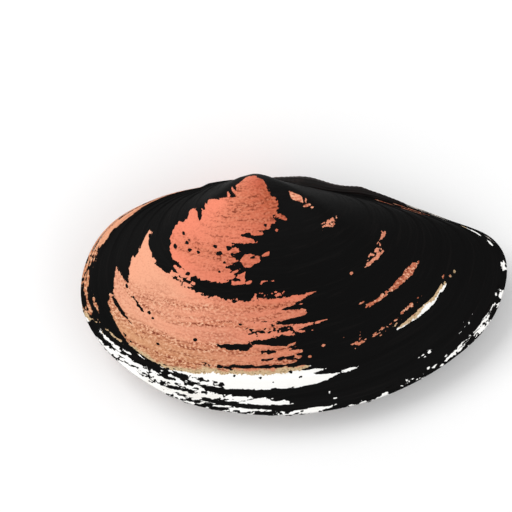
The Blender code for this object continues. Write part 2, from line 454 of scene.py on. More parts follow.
def line_size(bearing: np.ndarray, size: np.ndarray) -> np.ndarray:
    """Size as the drawn growth lines follow it: they lie a little further out at the front.

    It is the size divided by a lean that depends on the bearing, with a little more of it in
    the middle sizes.

    Args:
        bearing: Bearings in degrees.
        size: Growth sizes.

    Returns:
        The drawn lines' sizes.
    """
    lean = (
        (-90.0, 1.10), (-50.0, 1.065), (-40.0, 1.02), (-30.0, 0.98), (-20.0, 0.95),
        (-10.0, 0.925), (0.0, 0.908), (10.0, 0.89), (25.0, 0.875), (90.0, 0.86),
    )
    more = ((-90.0, 0.12), (-50.0, 0.11), (-40.0, 0.05), (-30.0, 0.03), (-20.0, 0.0))
    middle = smooth_step(size, 0.45, 0.55) * smooth_step(size, 0.80, 0.70)
    return size / (along_stops(bearing, lean) + along_stops(bearing, more) * middle)


# The black skin laid out here is painted shade as well as skin: its fields and strips follow where the shell
# is shaded.
LEFT_PATTERN = SkinAndShadePattern(
    back=SkinAndShadeField(
        (
            (0.03, 0), (0.079, 3), (0.092, 6), (0.100, 13), (0.106, 19), (0.125, 18.5),
            (0.165, 19), (0.185, 22), (0.205, 24.5), (0.222, 25.5), (0.230, 25), (0.256, 19.5),
            (0.262, 17), (0.27, 16), (0.28, 17.5), (0.289, 17), (0.297, 12.5), (0.303, 12.5),
            (0.312, 10), (0.320, -3), (0.327, -8), (0.335, -12),
            (0.339, -11), (0.344, -3), (0.352, 1), (0.360, 0), (0.365, -15), (0.375, -15),
            (0.38, -12), (0.39, -10), (0.397, -11), (0.405, -15), (0.415, -14), (0.425, -10),
            (0.432, -10), (0.44, -12), (0.455, -15), (0.475, -11), (0.49, -12), (0.50, -17),
            (0.52, 10), (0.545, 25), (0.57, 17), (0.612, 22),
            (0.625, 13), (0.638, 6), (0.651, 27), (0.664, 14), (0.676, 21), (0.685, 9),
            (0.70, 2), (0.712, -3), (0.721, 11), (0.738, 10), (0.75, 10), (0.785, 10), (0.793, 4),
            (0.798, 13), (0.806, 16), (0.815, 16), (0.828, 20),
            (0.84, 15), (0.85, 21), (0.862, 23.8), (0.872, 21),
            (0.885, 12), (0.91, -6), (0.93, 10), (1.0, 11),
        ),
        towards_back=True,
    ),
    front=SkinAndShadeField(
        (
            (0.03, -8), (0.075, -14), (0.088, -22), (0.105, -27), (0.147, -34), (0.168, -28),
            (0.183, -27), (0.200, -25), (0.206, -36), (0.212, -38), (0.226, -45), (0.231, -42.5),
            (0.236, -46), (0.245, -50), (0.26, -55), (0.27, -54), (0.277, -50),
            (0.284, -54), (0.30, -50), (0.335, -56), (0.37, -59), (0.38, -56), (0.41, -54),
            (0.42, -56.5), (0.45, -56), (0.48, -53), (0.50, -50), (0.515, -47), (0.54, -47),
            (0.56, -60), (0.60, -61), (0.615, -64), (0.65, -59), (0.70, -56.5), (0.747, -51),
            (0.79, -58), (0.825, -52), (0.87, -51), (0.89, -44), (0.91, -38), (0.93, -28),
            (0.95, -34), (1.0, -46),
        ),
        towards_back=False,
        raggedness=0.9,
    ),
    strips=(
        # the arc over the middle of the disc
        SkinAndShadeBand(
            (
                (-62, 0.50, 0.61), (-53, 0.485, 0.60), (-47, 0.52, 0.593), (-38, 0.528, 0.583),
                (-25, 0.528, 0.576), (-14, 0.503, 0.564), (0, 0.488, 0.551), (22, 0.47, 0.542),
            ),
        ),
        # the rim
        SkinAndShadeBand(
            (
                (-15, 0.907, 0.922), (-8, 0.900, 0.926), (0, 0.892, 0.926), (8, 0.886, 0.938),
                (12, 0.884, 0.966), (20, 0.876, 0.978), (30, 0.82, 1.2),
            ),
            0.45,
        ),
        SkinAndShadeBand(
            ((-56, 0.81, 0.985), (-50, 0.87, 0.975), (-42, 0.902, 0.965), (-35, 0.918, 0.955)), 0.5
        ),
        SkinAndShadeBand(((-42, 0.915, 0.965), (-35, 0.918, 0.955), (-31, 0.925, 0.945)), 0.5, 1, 0.4),
        SkinAndShadeBand(((-33, 0.912, 0.972), (-22, 0.903, 0.965), (-9, 0.902, 0.93)), 0.5, 2, 0.02),
        SkinAndShadeBand(
            ((-46, 0.95, 0.997), (-34, 0.93, 0.992), (-14, 0.93, 0.99), (-4, 0.95, 0.99)), 0.8, 4, -0.26
        ),
        SkinAndShadeBand(((-24, 0.885, 0.92), (-10, 0.885, 0.905)), 0.8, 3, -0.25),
        SkinAndShadeBand(((-14, 0.957, 0.972), (0, 0.957, 0.976), (18, 0.95, 0.99)), 0.25),
        SkinAndShadeBand(((-14, 0.989, 1.2), (4, 0.985, 1.2), (32, 0.978, 1.2)), 0.35, 2, 0.2),
        # torn streaks of skin and painted shade along the growth lines
        SkinAndShadeBand(((-17, 0.817, 0.830), (-12, 0.812, 0.824), (-7, 0.803, 0.820)), 0.3, 0.8, 0.15),
        SkinAndShadeBand(
            ((-8.5, 0.804, 0.815), (-3.6, 0.797, 0.811), (4, 0.791, 0.804), (16, 0.787, 0.799)), 0.3
        ),
        SkinAndShadeBand(
            ((-13, 0.733, 0.744), (-8, 0.724, 0.749), (-3, 0.713, 0.746), (0, 0.713, 0.724)), 0.35, 0.8
        ),
        SkinAndShadeBand(((5.4, 0.735, 0.745), (6.6, 0.736, 0.752), (8.8, 0.744, 0.752)), 0.25, 0.3),
        SkinAndShadeBand(((2.0, 0.769, 0.776), (4, 0.767, 0.776), (6.8, 0.761, 0.769)), 0.25, 0.3),
        SkinAndShadeBand(((7, 0.760, 0.774), (9, 0.760, 0.773), (14, 0.762, 0.774)), 0.25, 0.5),
        SkinAndShadeBand(((-58, 0.31, 0.328), (-50, 0.313, 0.336), (-44.5, 0.337, 0.351)), 0.2, 0.4),
        SkinAndShadeBand(((11, 0.584, 0.590), (16, 0.578, 0.592), (24, 0.574, 0.60)), 0.25, 0.8),
        SkinAndShadeBand(((-46, 0.752, 0.763), (-40, 0.760, 0.769)), 0.25, 0.5, 0.8),
        SkinAndShadeBand(((-53, 0.832, 0.842), (-40, 0.835, 0.843)), 0.4, 1, 0.3),
        SkinAndShadeBand(((2, 0.632, 0.70), (26, 0.62, 0.70)), 0.5, 5, -0.3),
    ),
    bare=(
        SkinAndShadeBand(((-42, 0.538, 0.548), (-36, 0.530, 0.556), (-30.5, 0.535, 0.553)), 0.3, 0.6, 0.4),
        SkinAndShadeBand(((-40, 0.563, 0.575), (-36, 0.562, 0.582), (-27, 0.568, 0.576)), 0.35, 0.6, 0.0),
        SkinAndShadeBand(((-29.5, 0.546, 0.560), (-27.8, 0.546, 0.558)), 0.15, 0.3),
        SkinAndShadeBand(((-3, 0.325, 0.332), (0, 0.317, 0.333), (6, 0.322, 0.330)), 0.15, 0.3),
        SkinAndShadeBand(
            ((-8.5, 0.419, 0.425), (-6, 0.399, 0.443), (-4, 0.398, 0.444), (3, 0.400, 0.424)), 0.2, 0.4
        ),
        SkinAndShadeBand(((4.5, 0.396, 0.406), (8.8, 0.388, 0.398)), 0.2, 0.4),
        SkinAndShadeBand(((-12, 0.466, 0.476), (-8.5, 0.452, 0.462)), 0.2, 0.4),
        SkinAndShadeBand(((-9, 0.472, 0.487), (-5, 0.460, 0.490)), 0.2, 0.4),
        SkinAndShadeBand(((-11, 0.499, 0.509), (-5, 0.488, 0.500)), 0.2, 0.4),
        SkinAndShadeBand(((-4, 0.492, 0.501), (-1.8, 0.488, 0.497)), 0.2, 0.4),
        SkinAndShadeBand(((2.8, 0.490, 0.499), (9, 0.483, 0.491)), 0.2, 0.4, 0.3),
        SkinAndShadeBand(((1, 0.535, 0.552), (12, 0.525, 0.545)), 0.4, 1, -0.4),
        SkinAndShadeBand(((-39.5, 0.157, 0.162), (-35, 0.164, 0.174), (-27.5, 0.175, 0.187)), 0.12, 0.2),
        SkinAndShadeBand(((-41, 0.182, 0.187), (-37, 0.187, 0.199), (-33, 0.195, 0.211)), 0.12, 0.2),
        SkinAndShadeBand(((18.5, 0.257, 0.268), (22, 0.260, 0.279), (26.3, 0.270, 0.288)), 0.12, 0.2),
        SkinAndShadeSpeck(16.3, 0.316, 0.25),
        SkinAndShadeBand(
            ((41, 0.207, 0.215), (45.5, 0.176, 0.230), (48, 0.182, 0.240), (52.5, 0.207, 0.214)),
            0.15,
            0.2,
        ),
        SkinAndShadeBand(((50, 0.238, 0.245), (54, 0.226, 0.232)), 0.12, 0.2),
        SkinAndShadeBand(((45, 0.250, 0.258), (49, 0.248, 0.261), (52.5, 0.250, 0.258)), 0.15, 0.3),
        SkinAndShadeSpeck(51, 0.269, 0.24),
        SkinAndShadeBand(((47, 0.336, 0.350), (51, 0.338, 0.362), (58, 0.340, 0.350)), 0.35, 0.8, 0.05),
        SkinAndShadeBand(((50, 0.532, 0.545), (53, 0.515, 0.545), (59, 0.515, 0.540)), 0.3, 0.8, 0.45),
        SkinAndShadeBand(((60, 0.508, 0.520), (66, 0.505, 0.518)), 0.3, 0.5, 0.2),
        SkinAndShadeBand(
            (
                (40.6, 0.652, 0.656), (45, 0.654, 0.662), (50, 0.650, 0.659), (54, 0.645, 0.663),
                (59, 0.643, 0.667), (63, 0.653, 0.668),
            ),
            0.4,
            0.8,
        ),
        SkinAndShadeBand(((38.4, 0.636, 0.641), (40.4, 0.638, 0.644)), 0.12, 0.2),
        SkinAndShadeSpeck(42.8, 0.533, 0.26),
        SkinAndShadeBand(((30, 0.765, 0.785), (44, 0.765, 0.78)), 0.5, 2, -0.5),
        SkinAndShadeBand(((30, 0.722, 0.745), (45, 0.73, 0.75)), 0.5, 2, -0.6),
        SkinAndShadeBand(((45, 0.735, 0.755), (54, 0.738, 0.752)), 0.4, 2, -0.1),
        # the fingers at the back of the lowest red patch
        SkinAndShadeBand(((7, 0.741, 0.762), (11, 0.742, 0.759), (15, 0.742, 0.750)), 0.2, 0.4),
        SkinAndShadeBand(((7, 0.775, 0.790), (12.6, 0.776, 0.784)), 0.2, 0.4),
        SkinAndShadeBand(((12.4, 0.757, 0.764), (13.4, 0.760, 0.774), (14.8, 0.762, 0.769)), 0.15, 0.2),
        SkinAndShadeBand(((11.2, 0.716, 0.722), (13.6, 0.711, 0.717)), 0.15, 0.2),
        SkinAndShadeSpeck(17, 0.771, 0.28),
        SkinAndShadeSpeck(22, 0.738, 0.32),
        SkinAndShadeSpeck(13.6, 0.682, 0.25),
        SkinAndShadeSpeck(80.5, 0.79, 0.4),
        SkinAndShadeSpeck(80.4, 0.875, 0.4),
        SkinAndShadeSpeck(79.0, 0.83, 0.4),
        SkinAndShadeSpeck(79.4, 0.885, 0.45),
        SkinAndShadeBand(((42, 0.780, 0.790), (52, 0.771, 0.793), (60.4, 0.777, 0.789)), 0.25, 1.0),
        SkinAndShadeBand(
            ((12, 0.983, 1.2), (22, 0.984, 1.2), (32, 0.976, 1.2), (60, 0.976, 1.2)), 0.3, 2, -0.02
        ),
        SkinAndShadeBand(((56, 0.985, 1.2), (60, 0.968, 1.2), (63.5, 0.985, 1.2)), 0.3, 0.8, 0.3),
        SkinAndShadeBand(((64.6, 0.972, 1.2), (66.4, 0.978, 1.2)), 0.3, 0.4, 0.4),
        SkinAndShadeBand(((70.5, 0.978, 1.2), (72.1, 0.976, 1.2)), 0.3, 0.4, 0.3),
        SkinAndShadeSpeck(75.3, 0.967, 0.3),
        SkinAndShadeSpeck(77.4, 0.934, 0.28),
        SkinAndShadeSpeck(76.9, 0.947, 0.28),
        SkinAndShadeBand(((24.9, 0.850, 0.859), (26.5, 0.846, 0.858), (28.8, 0.850, 0.856)), 0.2, 0.4, 0.8),
        SkinAndShadeSpeck(65.4, 0.802, 0.24),
        SkinAndShadeSpeck(62.8, 0.768, 0.2),
        SkinAndShadeSpeck(63.8, 0.793, 0.24),
        SkinAndShadeSpeck(20.2, 0.953, 0.3),
        SkinAndShadeSpeck(19.6, 0.925, 0.3),
        SkinAndShadeBand(((42, 0.92, 0.94), (58, 0.92, 0.935)), 0.5, 1, -0.6),
        SkinAndShadeBand(((-64, 0.94, 0.975), (-50, 0.93, 0.97), (-36, 0.93, 0.965)), 0.5, 1, -0.3),
        SkinAndShadeBand(((-84, 0.99, 1.3), (-78, 0.925, 1.3), (-75, 0.89, 1.3), (-71, 0.925, 1.3),
                  (-62, 0.948, 1.3), (-50, 0.968, 1.3)), 0.5, 1.0),
    ),
    dashes=(
        SkinAndShadeBand(
            ((-70, 0.0, 0.07), (-15, 0.0, 0.081), (15, 0.0, 0.078), (70, 0.0, 0.07)), 0.1, 1, 0.9
        ),
        SkinAndShadeBand(((-84, 0.972, 0.992), (-60, 0.970, 0.990), (-50, 0.978, 0.998)), 0.35, 1, -0.02),
        SkinAndShadeBand(((-66, 0.948, 1.2), (-44, 0.955, 1.2)), 0.8, 2, -0.08),
        SkinAndShadeBand(((8, 0.988, 1.2), (34, 0.99, 1.2), (62, 0.99, 1.2)), 0.3, 2, 0.0),
        SkinAndShadeBand(((19.5, 0.955, 0.99), (24, 0.955, 0.998), (31, 0.96, 0.998)), 0.4, 1, 0.8),
        SkinAndShadeBand(((48, 0.966, 0.984), (62, 0.966, 0.980)), 0.6, 1, -0.1),
        SkinAndShadeBand(((13.5, 0.815, 0.819), (19, 0.811, 0.823)), 0.2, 0.3),
        SkinAndShadeBand(((51, 0.526, 0.534), (57, 0.522, 0.531)), 0.2, 0.5, 0.6),
        SkinAndShadeBand(((-3.2, 0.404, 0.412), (0.2, 0.405, 0.414)), 0.15, 0.3),
        SkinAndShadeBand(((-11, 0.488, 0.498), (-7, 0.485, 0.495)), 0.15, 0.3),
        *(
            SkinAndShadeSpeck(*place)
            for place in (
                (-48, 0.428, 0.33), (-42, 0.430, 0.30), (-42.3, 0.443, 0.38), (-33.3, 0.445, 0.33),
                (-38, 0.460, 0.40), (-46.5, 0.489, 0.38), (-25.3, 0.399, 0.33), (-16.8, 0.389, 0.42),
                (-21.5, 0.415, 0.50), (-17, 0.441, 0.28), (-18.7, 0.475, 0.28), (-32.8, 0.533, 0.50),
                (2.4, 0.742, 0.35), (4.6, 0.740, 0.4), (8.5, 0.296, 0.25), (-9, 0.567, 0.30),
                (-50, 0.757, 0.35), (-38, 0.75, 0.3),
                (-36, 0.758, 0.25), (-20, 0.743, 0.3), (4, 0.654, 0.2), (7, 0.654, 0.2),
                (-30.5, 0.832, 0.3), (-40, 0.893, 0.3), (-37.5, 0.896, 0.25), (-6, 0.845, 0.2),
                (1.5, 0.844, 0.22), (5.3, 0.86, 0.2), (13, 0.844, 0.3), (10.5, 0.824, 0.3),
            )
        ),
    ),
    disc_edge=(
        (-90, 1.03), (-55, 1.03), (-50, 0.99), (-46, 0.965), (-42, 0.945), (-36, 0.925),
        (-28, 0.907), (-24, 0.893), (-20, 0.876), (-16, 0.861), (-12, 0.849), (-6, 0.841),
        (4, 0.829), (16, 0.813), (34, 0.80), (42, 0.786), (51, 0.784), (60, 0.785),
        (66, 0.81), (74, 0.88), (80, 0.97), (90, 1.03),
    ),
    rays=((-90, 0.1), (-78, 0.15), (-68, 0.05), (28, 0), (42, 0.05), (60, 0.2), (76, 0.5), (90, 0.6)),
)

RIGHT_PATTERN = SkinAndShadePattern(
    back=SkinAndShadeField(
        (
            (0.03, 24), (0.12, 31), (0.19, 22), (0.24, 38), (0.30, 33), (0.34, 45), (0.40, 52),
            (0.46, 41), (0.52, 50), (0.58, 57), (0.63, 44), (0.70, 55), (0.75, 49), (0.80, 38),
            (0.84, 47), (0.88, 22), (0.93, 12), (1.0, 20),
        ),
        towards_back=True,
        raggedness=2.0,
    ),
    front=SkinAndShadeField(
        (
            (0.03, -40), (0.15, -52), (0.25, -49), (0.36, -62), (0.45, -57), (0.56, -66),
            (0.68, -61), (0.78, -67), (0.86, -55), (0.93, -40), (1.0, -47),
        ),
        towards_back=False,
        raggedness=1.4,
    ),
    strips=(
        SkinAndShadeBand(((-70, 0.60, 0.66), (-40, 0.64, 0.662), (-16, 0.65, 0.66)), 0.5, 4),
        SkinAndShadeBand(((-8, 0.43, 0.436), (20, 0.425, 0.46), (60, 0.40, 0.50)), 0.5, 4),
        SkinAndShadeBand(((-60, 0.86, 0.97), (-30, 0.915, 0.955), (0, 0.905, 0.94), (30, 0.88, 0.97)), 0.5, 4),
        SkinAndShadeBand(((-90, 0.955, 1.2), (90, 0.955, 1.2)), 0.8, 4, 0.1),
        SkinAndShadeBand(((-30, 0.75, 0.80), (40, 0.74, 0.82)), 0.6, 4, -0.25),
    ),
    bare=(
        SkinAndShadeBand(((46, 0.66, 0.69), (62, 0.655, 0.68)), 0.4, 1.5),
        SkinAndShadeBand(((40, 0.55, 0.58), (66, 0.56, 0.57)), 0.5, 2, 0.1),
        SkinAndShadeBand(((-84, 0.80, 0.83), (-64, 0.79, 0.84)), 0.5, 2, 0.0),
    ),
    dashes=(),
    disc_edge=((-90, 0.97), (-40, 0.945), (-10, 0.90), (20, 0.905), (60, 0.93), (90, 0.98)),
    rays=(
        (-90, 0.3), (-72, 0.9), (-55, 0.05), (-20, 0.0), (12, 0.1), (30, 0.85), (44, 0.1),
        (58, 0.9), (90, 0.5),
    ),
)


@dataclass(frozen=True)
class Tints:
    """Where the disc's colours and the brown strokes show."""

    stroke_bands: Stops = (
        (0.10, 0.3), (0.20, 0.8), (0.30, 0.8), (0.38, 0.5), (0.45, 0.75), (0.50, 0.4),
        (0.56, 0.3), (0.605, 0.6), (0.638, 1.0), (0.655, 0.35), (0.676, 0.8), (0.69, 0.3),
        (0.7135, 1.0), (0.735, 0.15), (0.78, 0.3), (0.818, 1.0), (0.849, 0.35),
        (0.876, 0.8), (1.0, 0.8),
    )  # drawn size and strength
    plain_front: Stops = (
        (-80.0, 1.1), (-66.0, 0.95), (-58.0, 0.76), (-46.0, 0.715), (-38.0, 0.67),
        (-30.0, 0.62), (-22.0, 0.575), (-15.0, 0.5),
    )  # bearing, and the size up to which the strokes are faint

    def strengths(
        self, way: np.ndarray, bearing: np.ndarray, size: np.ndarray, rays: Stops, seed: int
    ) -> dict[str, np.ndarray]:
        """How strongly each tint shows at a place.

        Umber grows towards the back and most near the beak, peach in the lower front of the
        disc and tan near its edge. Brown strokes gather in bands along the drawn growth lines.

        Args:
            way: Share of the way round the edge.
            bearing: Bearings in degrees.
            size: Growth sizes.
            rays: Bearing and strength of the dark red rays.
            seed: Seed of the clouds.

        Returns:
            The strengths by name.
        """
        lines = line_size(bearing, size)
        cloud = lattice_noise(way, lines, (18, 8), seed)
        back = smooth_step(bearing, -42.0, 24.0)
        umber = back * (0.78 - 0.42 * smooth_step(size, 0.34, 0.60))
        by_beak = smooth_step(size, 0.30, 0.16) * smooth_step(size, 0.06, 0.14)
        umber = umber + 0.35 * back * by_beak * smooth_step(bearing, 36.0, 26.0)
        umber = umber * smooth_step(bearing, 42.0, 26.0)
        far_back = smooth_step(bearing, 28.0, 42.0)
        umber = umber + (0.18 + 0.42 * smooth_step(size, 0.55, 0.65)) * far_back
        peach = smooth_step(size, 0.50, 0.62) * (1.0 - 0.6 * smooth_step(bearing, -50.0, 12.0))
        peach = np.maximum(peach, 0.7 * far_back)
        tan = smooth_step(lines, 0.76, 0.86) * (1.0 - 0.75 * smooth_step(bearing, -25.0, 5.0))
        tan = tan * (0.4 + 0.6 * smooth_step(bearing, -74.0, -58.0))
        banding = along_stops(lines + 0.02 * cloud, self.stroke_bands)
        drawn = smooth_step(size - along_stops(bearing, self.plain_front), -0.03, 0.03)
        forward = bearing + 16.0 * smooth_step(size, 0.40, 0.44)
        in_umbo = smooth_step(size, 0.52, 0.48) * smooth_step(forward, -50.0, -20.0)
        banding = banding * (0.15 + 0.85 * np.maximum(drawn, in_umbo))
        banding = np.maximum(banding, 0.85 * far_back * smooth_step(size, 0.60, 0.64))
        streaks = along_stops(bearing, rays) * smooth_step(size, 0.12, 0.4)
        return {
            "line_size": lines,
            "umber": np.clip(umber + 0.12 * cloud, 0.0, 1.0),
            "peach": np.clip(peach + 0.12 * cloud, 0.0, 1.0),
            "tan": np.clip(tan, 0.0, 1.0),
            "banding": np.clip(banding + 0.15 * cloud, 0.0, 1.0),
            "ray": np.clip(streaks * (0.75 + 0.25 * cloud), 0.0, 1.0),
        }


@dataclass(frozen=True)
class Relief:
    """Everything that stands up from a valve's smooth outer face."""

    halts: tuple[float, ...] = (0.22, 0.34, 0.45, 0.56, 0.66, 0.75, 0.845, 0.925, 1.0)
    halt_step: float = 0.28 * MM
    halt_sharpness: float = 0.008
    halt_wander: float = 0.004
    fade: float = 7 * MM
    keel: tuple[float, float, float] = (0.70, 0.045, 0.7 * MM)  # place round, spread and height
    furrow: tuple[float, float, float] = (0.80, 0.040, 0.8 * MM)
    ridges: int = 58
    ridge_wander: float = 1.4  # radians
    ridge_height: float = 0.05 * MM
    fine_ridge_height: float = 0.02 * MM
    skin_thickness: float = 0.07 * MM
    fold_mm: Stops = ((-11.5, 0.0), (-9.8, 0.6), (-3.5, 0.75), (-1.5, 0.35), (3.0, 0.3), (4.5, 0.0))
    fold_spread: float = 2.2 * MM
    fold_depth: float = 0.4 * MM  # down to this under the hinge axis, it is at its full height

    def hinge_skin(self, points: np.ndarray) -> np.ndarray:
        """How far the thick skin on the hinge line, before and over the beaks, raises a point.

        Args:
            points: Points of the outer face.

        Returns:
            The rise along Y, which falls off with the distance from the top of the hinge line.
        """
        rise = along_stops(points[..., 0] / MM, self.fold_mm) * MM
        away = np.hypot(np.maximum(-self.fold_depth - points[..., 1], 0.0), points[..., 2] * 0.5)
        return rise * np.exp(-((away / self.fold_spread) ** 2))

    def height(
        self, around: np.ndarray, size: np.ndarray, below_hinge: np.ndarray, seed: int
    ) -> np.ndarray:
        """Height of the growth halts, ridges, keel and furrow over the smooth face.

        Between two halts the shell rises with the square of the way and then drops. Ridges are
        |sin| waves of size whose phase wanders round the valve, so they join and part.

        Args:
            around: Share of the way round the edge.
            size: Growth sizes.
            below_hinge: How far the full edge lies below the hinge axis.
            seed: Seed of the wander.

        Returns:
            The height in metres.
        """
        halts = np.array([0.0, *self.halts])
        wander = self.halt_wander * lattice_noise(around, size, (14, 6), seed)
        grown = np.clip(size + wander * np.clip((1.0 - size) * 20, 0.0, 1.0), 0.0, 1.0)
        span = np.clip(np.searchsorted(halts, grown, side="left"), 1, len(halts) - 1)
        rise = (grown - halts[span - 1]) / (halts[span] - halts[span - 1])
        drop = smooth_step(halts[span] - grown, 0.0, self.halt_sharpness)
        terraces = self.halt_step * size * np.clip(rise, 0.0, 1.0) ** 2 * drop
        phase = self.ridge_wander * lattice_noise(around, size, (22, 9), seed + 1)
        swing = 0.6 + 0.4 * lattice_noise(around, size, (40, 14), seed + 2)
        ridges = np.abs(np.sin(math.pi * size * self.ridges + phase)) * swing
        fine = lattice_noise(around, size, (60, 130), seed + 3)
        lines = self.ridge_height * ridges + self.fine_ridge_height * fine
        near_edge = smooth_step(1.0 - size, 0.0, 0.02)
        by_hinge = np.clip(below_hinge / self.fade, 0.0, 1.0)
        waves = [
            height * np.exp(-(((around - place) / spread) ** 2))
            for place, spread, height in (self.keel, self.furrow)
        ]
        bulge = (waves[0] - waves[1]) * np.sin(math.pi * np.clip(size, 0.0, 1.0)) * size
        return (terraces + lines * smooth_step(size, 0.02, 0.2)) * near_edge * by_hinge + bulge


@dataclass(frozen=True)
class HingeTeeth:
    """Four teeth in a row under the beaks, which belong to the right and left valve in turn."""

    pitch: float = 1.7 * MM
    count: int = 4
    middle: float = -2.2 * MM
    width: float = 0.9 * MM
    length: float = 2.2 * MM
    height: float = 1.1 * MM
    clearance: float = 0.3 * MM

    def rise(self, side: Side, plan: np.ndarray) -> np.ndarray:
        """How far the hinge plate stands out towards the other valve.

        Each tooth is 1 inside an ellipse and falls smoothly to 0 outside it, times its height,
        and each socket is the same with the clearance added, and sunk.

        Args:
            side: The valve.
            plan: Points in X and Y.

        Returns:
            The rise in metres, under 0 in the sockets.
        """
        total = np.zeros(plan.shape[:-1])
        for i in range(self.count):
            x = self.pitch * (i - (self.count - 1) / 2)
            own = (i % 2 == 0) == (side is Side.RIGHT)
            spare = 0.0 if own else self.clearance
            away = np.hypot(
                (plan[..., 0] - x) / (self.width / 2 + spare),
                (plan[..., 1] - self.middle) / (self.length / 2 + spare),
            )
            bump = (self.height + spare) * (1.0 - smooth_step(away, 0.55, 1.0))
            total += bump if own else -bump
        return total


@dataclass(frozen=True)
class LyingPose:
    """How the valves' frame lies in the world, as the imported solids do."""

    roll: float = math.radians(9.2)
    pitch: float = math.radians(2.0)
    tooth_height: float = HingeTeeth.height

    def turn(self) -> np.ndarray:
        """The turn as a 3 by 3 array."""
        return np.array(Euler((self.roll, self.pitch, 0.0)).to_matrix())

    def shift(self, form: ShellForm) -> np.ndarray:
        """Where the middle of the hinge axis lies in the world.

        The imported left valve, turned back into the valves' frame, has its box's low corner at
        the edge's least X and Y and at the tips of its teeth.

        Args:
            form: The valves' form.

        Returns:
            The place in the world.
        """
        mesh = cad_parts["left_valve"].data
        points = np.empty(len(mesh.vertices) * 3, np.float32)
        mesh.vertices.foreach_get("co", points)
        low = (points.reshape(-1, 3).astype(float) @ self.turn()).min(axis=0)
        edge, _ = form.fine_edge()
        own = np.array([*edge.min(axis=0), -self.tooth_height])
        return self.turn() @ (low - own)

    def to_world(self, points: np.ndarray, form: ShellForm) -> np.ndarray:
        """Puts points of the valves' frame into the world."""
        return points @ self.turn().T + self.shift(form)


FORM = ShellForm()
POSE = LyingPose()


class Graph:
    """Writes shader nodes into a material or a node group."""

    def __init__(self, tree: bpy.types.NodeTree) -> None:
        """Takes the tree to write into."""
        self.tree = tree

    def plug(self, socket: bpy.types.NodeSocket, value: object) -> None:
        """Links a socket to another one, or sets its value.

        Args:
            socket: The input socket.
            value: A number, a colour, a vector or an output socket.
        """
        if isinstance(value, bpy.types.NodeSocket):
            self.tree.links.new(value, socket)
        elif isinstance(value, tuple) and socket.type == "RGBA":
            socket.default_value = (*value, 1.0)
        else:
            socket.default_value = value

    def node(
        self, kind: str, inputs: dict[str | int, object] | None = None, **settings: object
    ) -> bpy.types.Node:
        """Adds a node.

        Args:
            kind: The node's type, without ShaderNode.
            inputs: Values or sockets by input name or place.
            **settings: The node's own settings.

        Returns:
            The node.
        """
        made = self.tree.nodes.new(f"ShaderNode{kind}")
        for name, value in settings.items():
            setattr(made, name, value)
        for key, value in (inputs or {}).items():
            self.plug(made.inputs[key], value)
        return made

    def math(self, operation: str, *values: object) -> bpy.types.NodeSocket:
        """Does arithmetic on one to three values or sockets."""
        return self.node("Math", dict(enumerate(values)), operation=operation).outputs[0]

    def times(self, first: object, second: object) -> bpy.types.NodeSocket:
        """Multiplies two values or sockets."""
        return self.math("MULTIPLY", first, second)

    def plus(self, first: object, second: object) -> bpy.types.NodeSocket:
        """Adds two values or sockets."""
        return self.math("ADD", first, second)

    def remap(
        self, value: object, low: float, high: float, to_low: float = 0.0, to_high: float = 1.0
    ) -> bpy.types.NodeSocket:
        """Carries a value smoothly from one range to another, held at the ends."""
        inputs = {"Value": value, "From Min": low, "From Max": high, "To Min": to_low, "To Max": to_high}
        return self.node("MapRange", inputs, interpolation_type="SMOOTHSTEP").outputs["Result"]

    def mix(self, factor: object, first: object, second: object) -> bpy.types.NodeSocket:
        """Mixes two colours.

        Args:
            factor: Share of the second one, as a number or a socket.
            first: The first colour or socket.
            second: The second colour or socket.

        Returns:
            The mixed colour's socket.
        """
        made = self.node("Mix", data_type="RGBA", clamp_factor=True)
        for index, value in ((0, factor), (6, first), (7, second)):
            self.plug(made.inputs[index], value)
        return made.outputs[2]

    def noise(
        self, vector: object, stretch: Place, detail: float = 3.0, roughness: float = 0.55
    ) -> bpy.types.NodeSocket:
        """Noise from 0 to 1.

        Args:
            vector: The socket of the place at which it is read.
            stretch: Cells for each unit of the vector, along its three axes.
            detail: How many finer layers it has.
            roughness: How strong each finer layer is beside the one before.

        Returns:
            The noise's socket.
        """
        mapped = self.node("Mapping", {"Vector": vector, "Scale": stretch}).outputs["Vector"]
        inputs = {"Vector": mapped, "Scale": 1.0, "Detail": detail, "Roughness": roughness}
        return self.node("TexNoise", inputs).outputs["Fac"]

    def attribute(self, name: str) -> bpy.types.NodeSocket:
        """Reads a number that the mesh carries at each point."""
        return self.node("Attribute", attribute_name=name).outputs["Fac"]

    def growth_map(self) -> bpy.types.NodeSocket:
        """Reads the map of way round and growth size."""
        return self.node("UVMap", uv_map=GROWTH_MAP).outputs["UV"]

    def drawn_map(self) -> bpy.types.NodeSocket:
        """Reads the same map with the size that the drawn growth lines follow."""
        way = self.node("SeparateXYZ", {"Vector": self.growth_map()}).outputs["X"]
        return self.node("CombineXYZ", {"X": way, "Y": self.attribute("line_size")}).outputs["Vector"]

    def object_place(self) -> bpy.types.NodeSocket:
        """Reads the place on the object in metres."""
        return self.node("TexCoord").outputs["Object"]


def new_group(
    name: str, inputs: dict[str, tuple[str, float]], outputs: dict[str, str]
) -> tuple[bpy.types.NodeTree, Graph, dict[str, bpy.types.NodeSocket], bpy.types.Node]:
    """Starts a shader node group.

    Args:
        name: The group's name.
        inputs: Socket type and first value by input name. A vector's first value is ignored.
        outputs: Socket type by output name.

    Returns:
        The group, its graph, its input sockets by name, and its output node.
    """
    tree = bpy.data.node_groups.new(name, "ShaderNodeTree")
    for label, (kind, first) in inputs.items():
        socket = tree.interface.new_socket(label, in_out="INPUT", socket_type=f"NodeSocket{kind}")
        if kind == "Float":
            socket.default_value = first
    for label, kind in outputs.items():
        tree.interface.new_socket(label, in_out="OUTPUT", socket_type=f"NodeSocket{kind}")
    source = tree.nodes.new("NodeGroupInput")
    target = tree.nodes.new("NodeGroupOutput")
    return tree, Graph(tree), {label: source.outputs[label] for label in inputs}, target


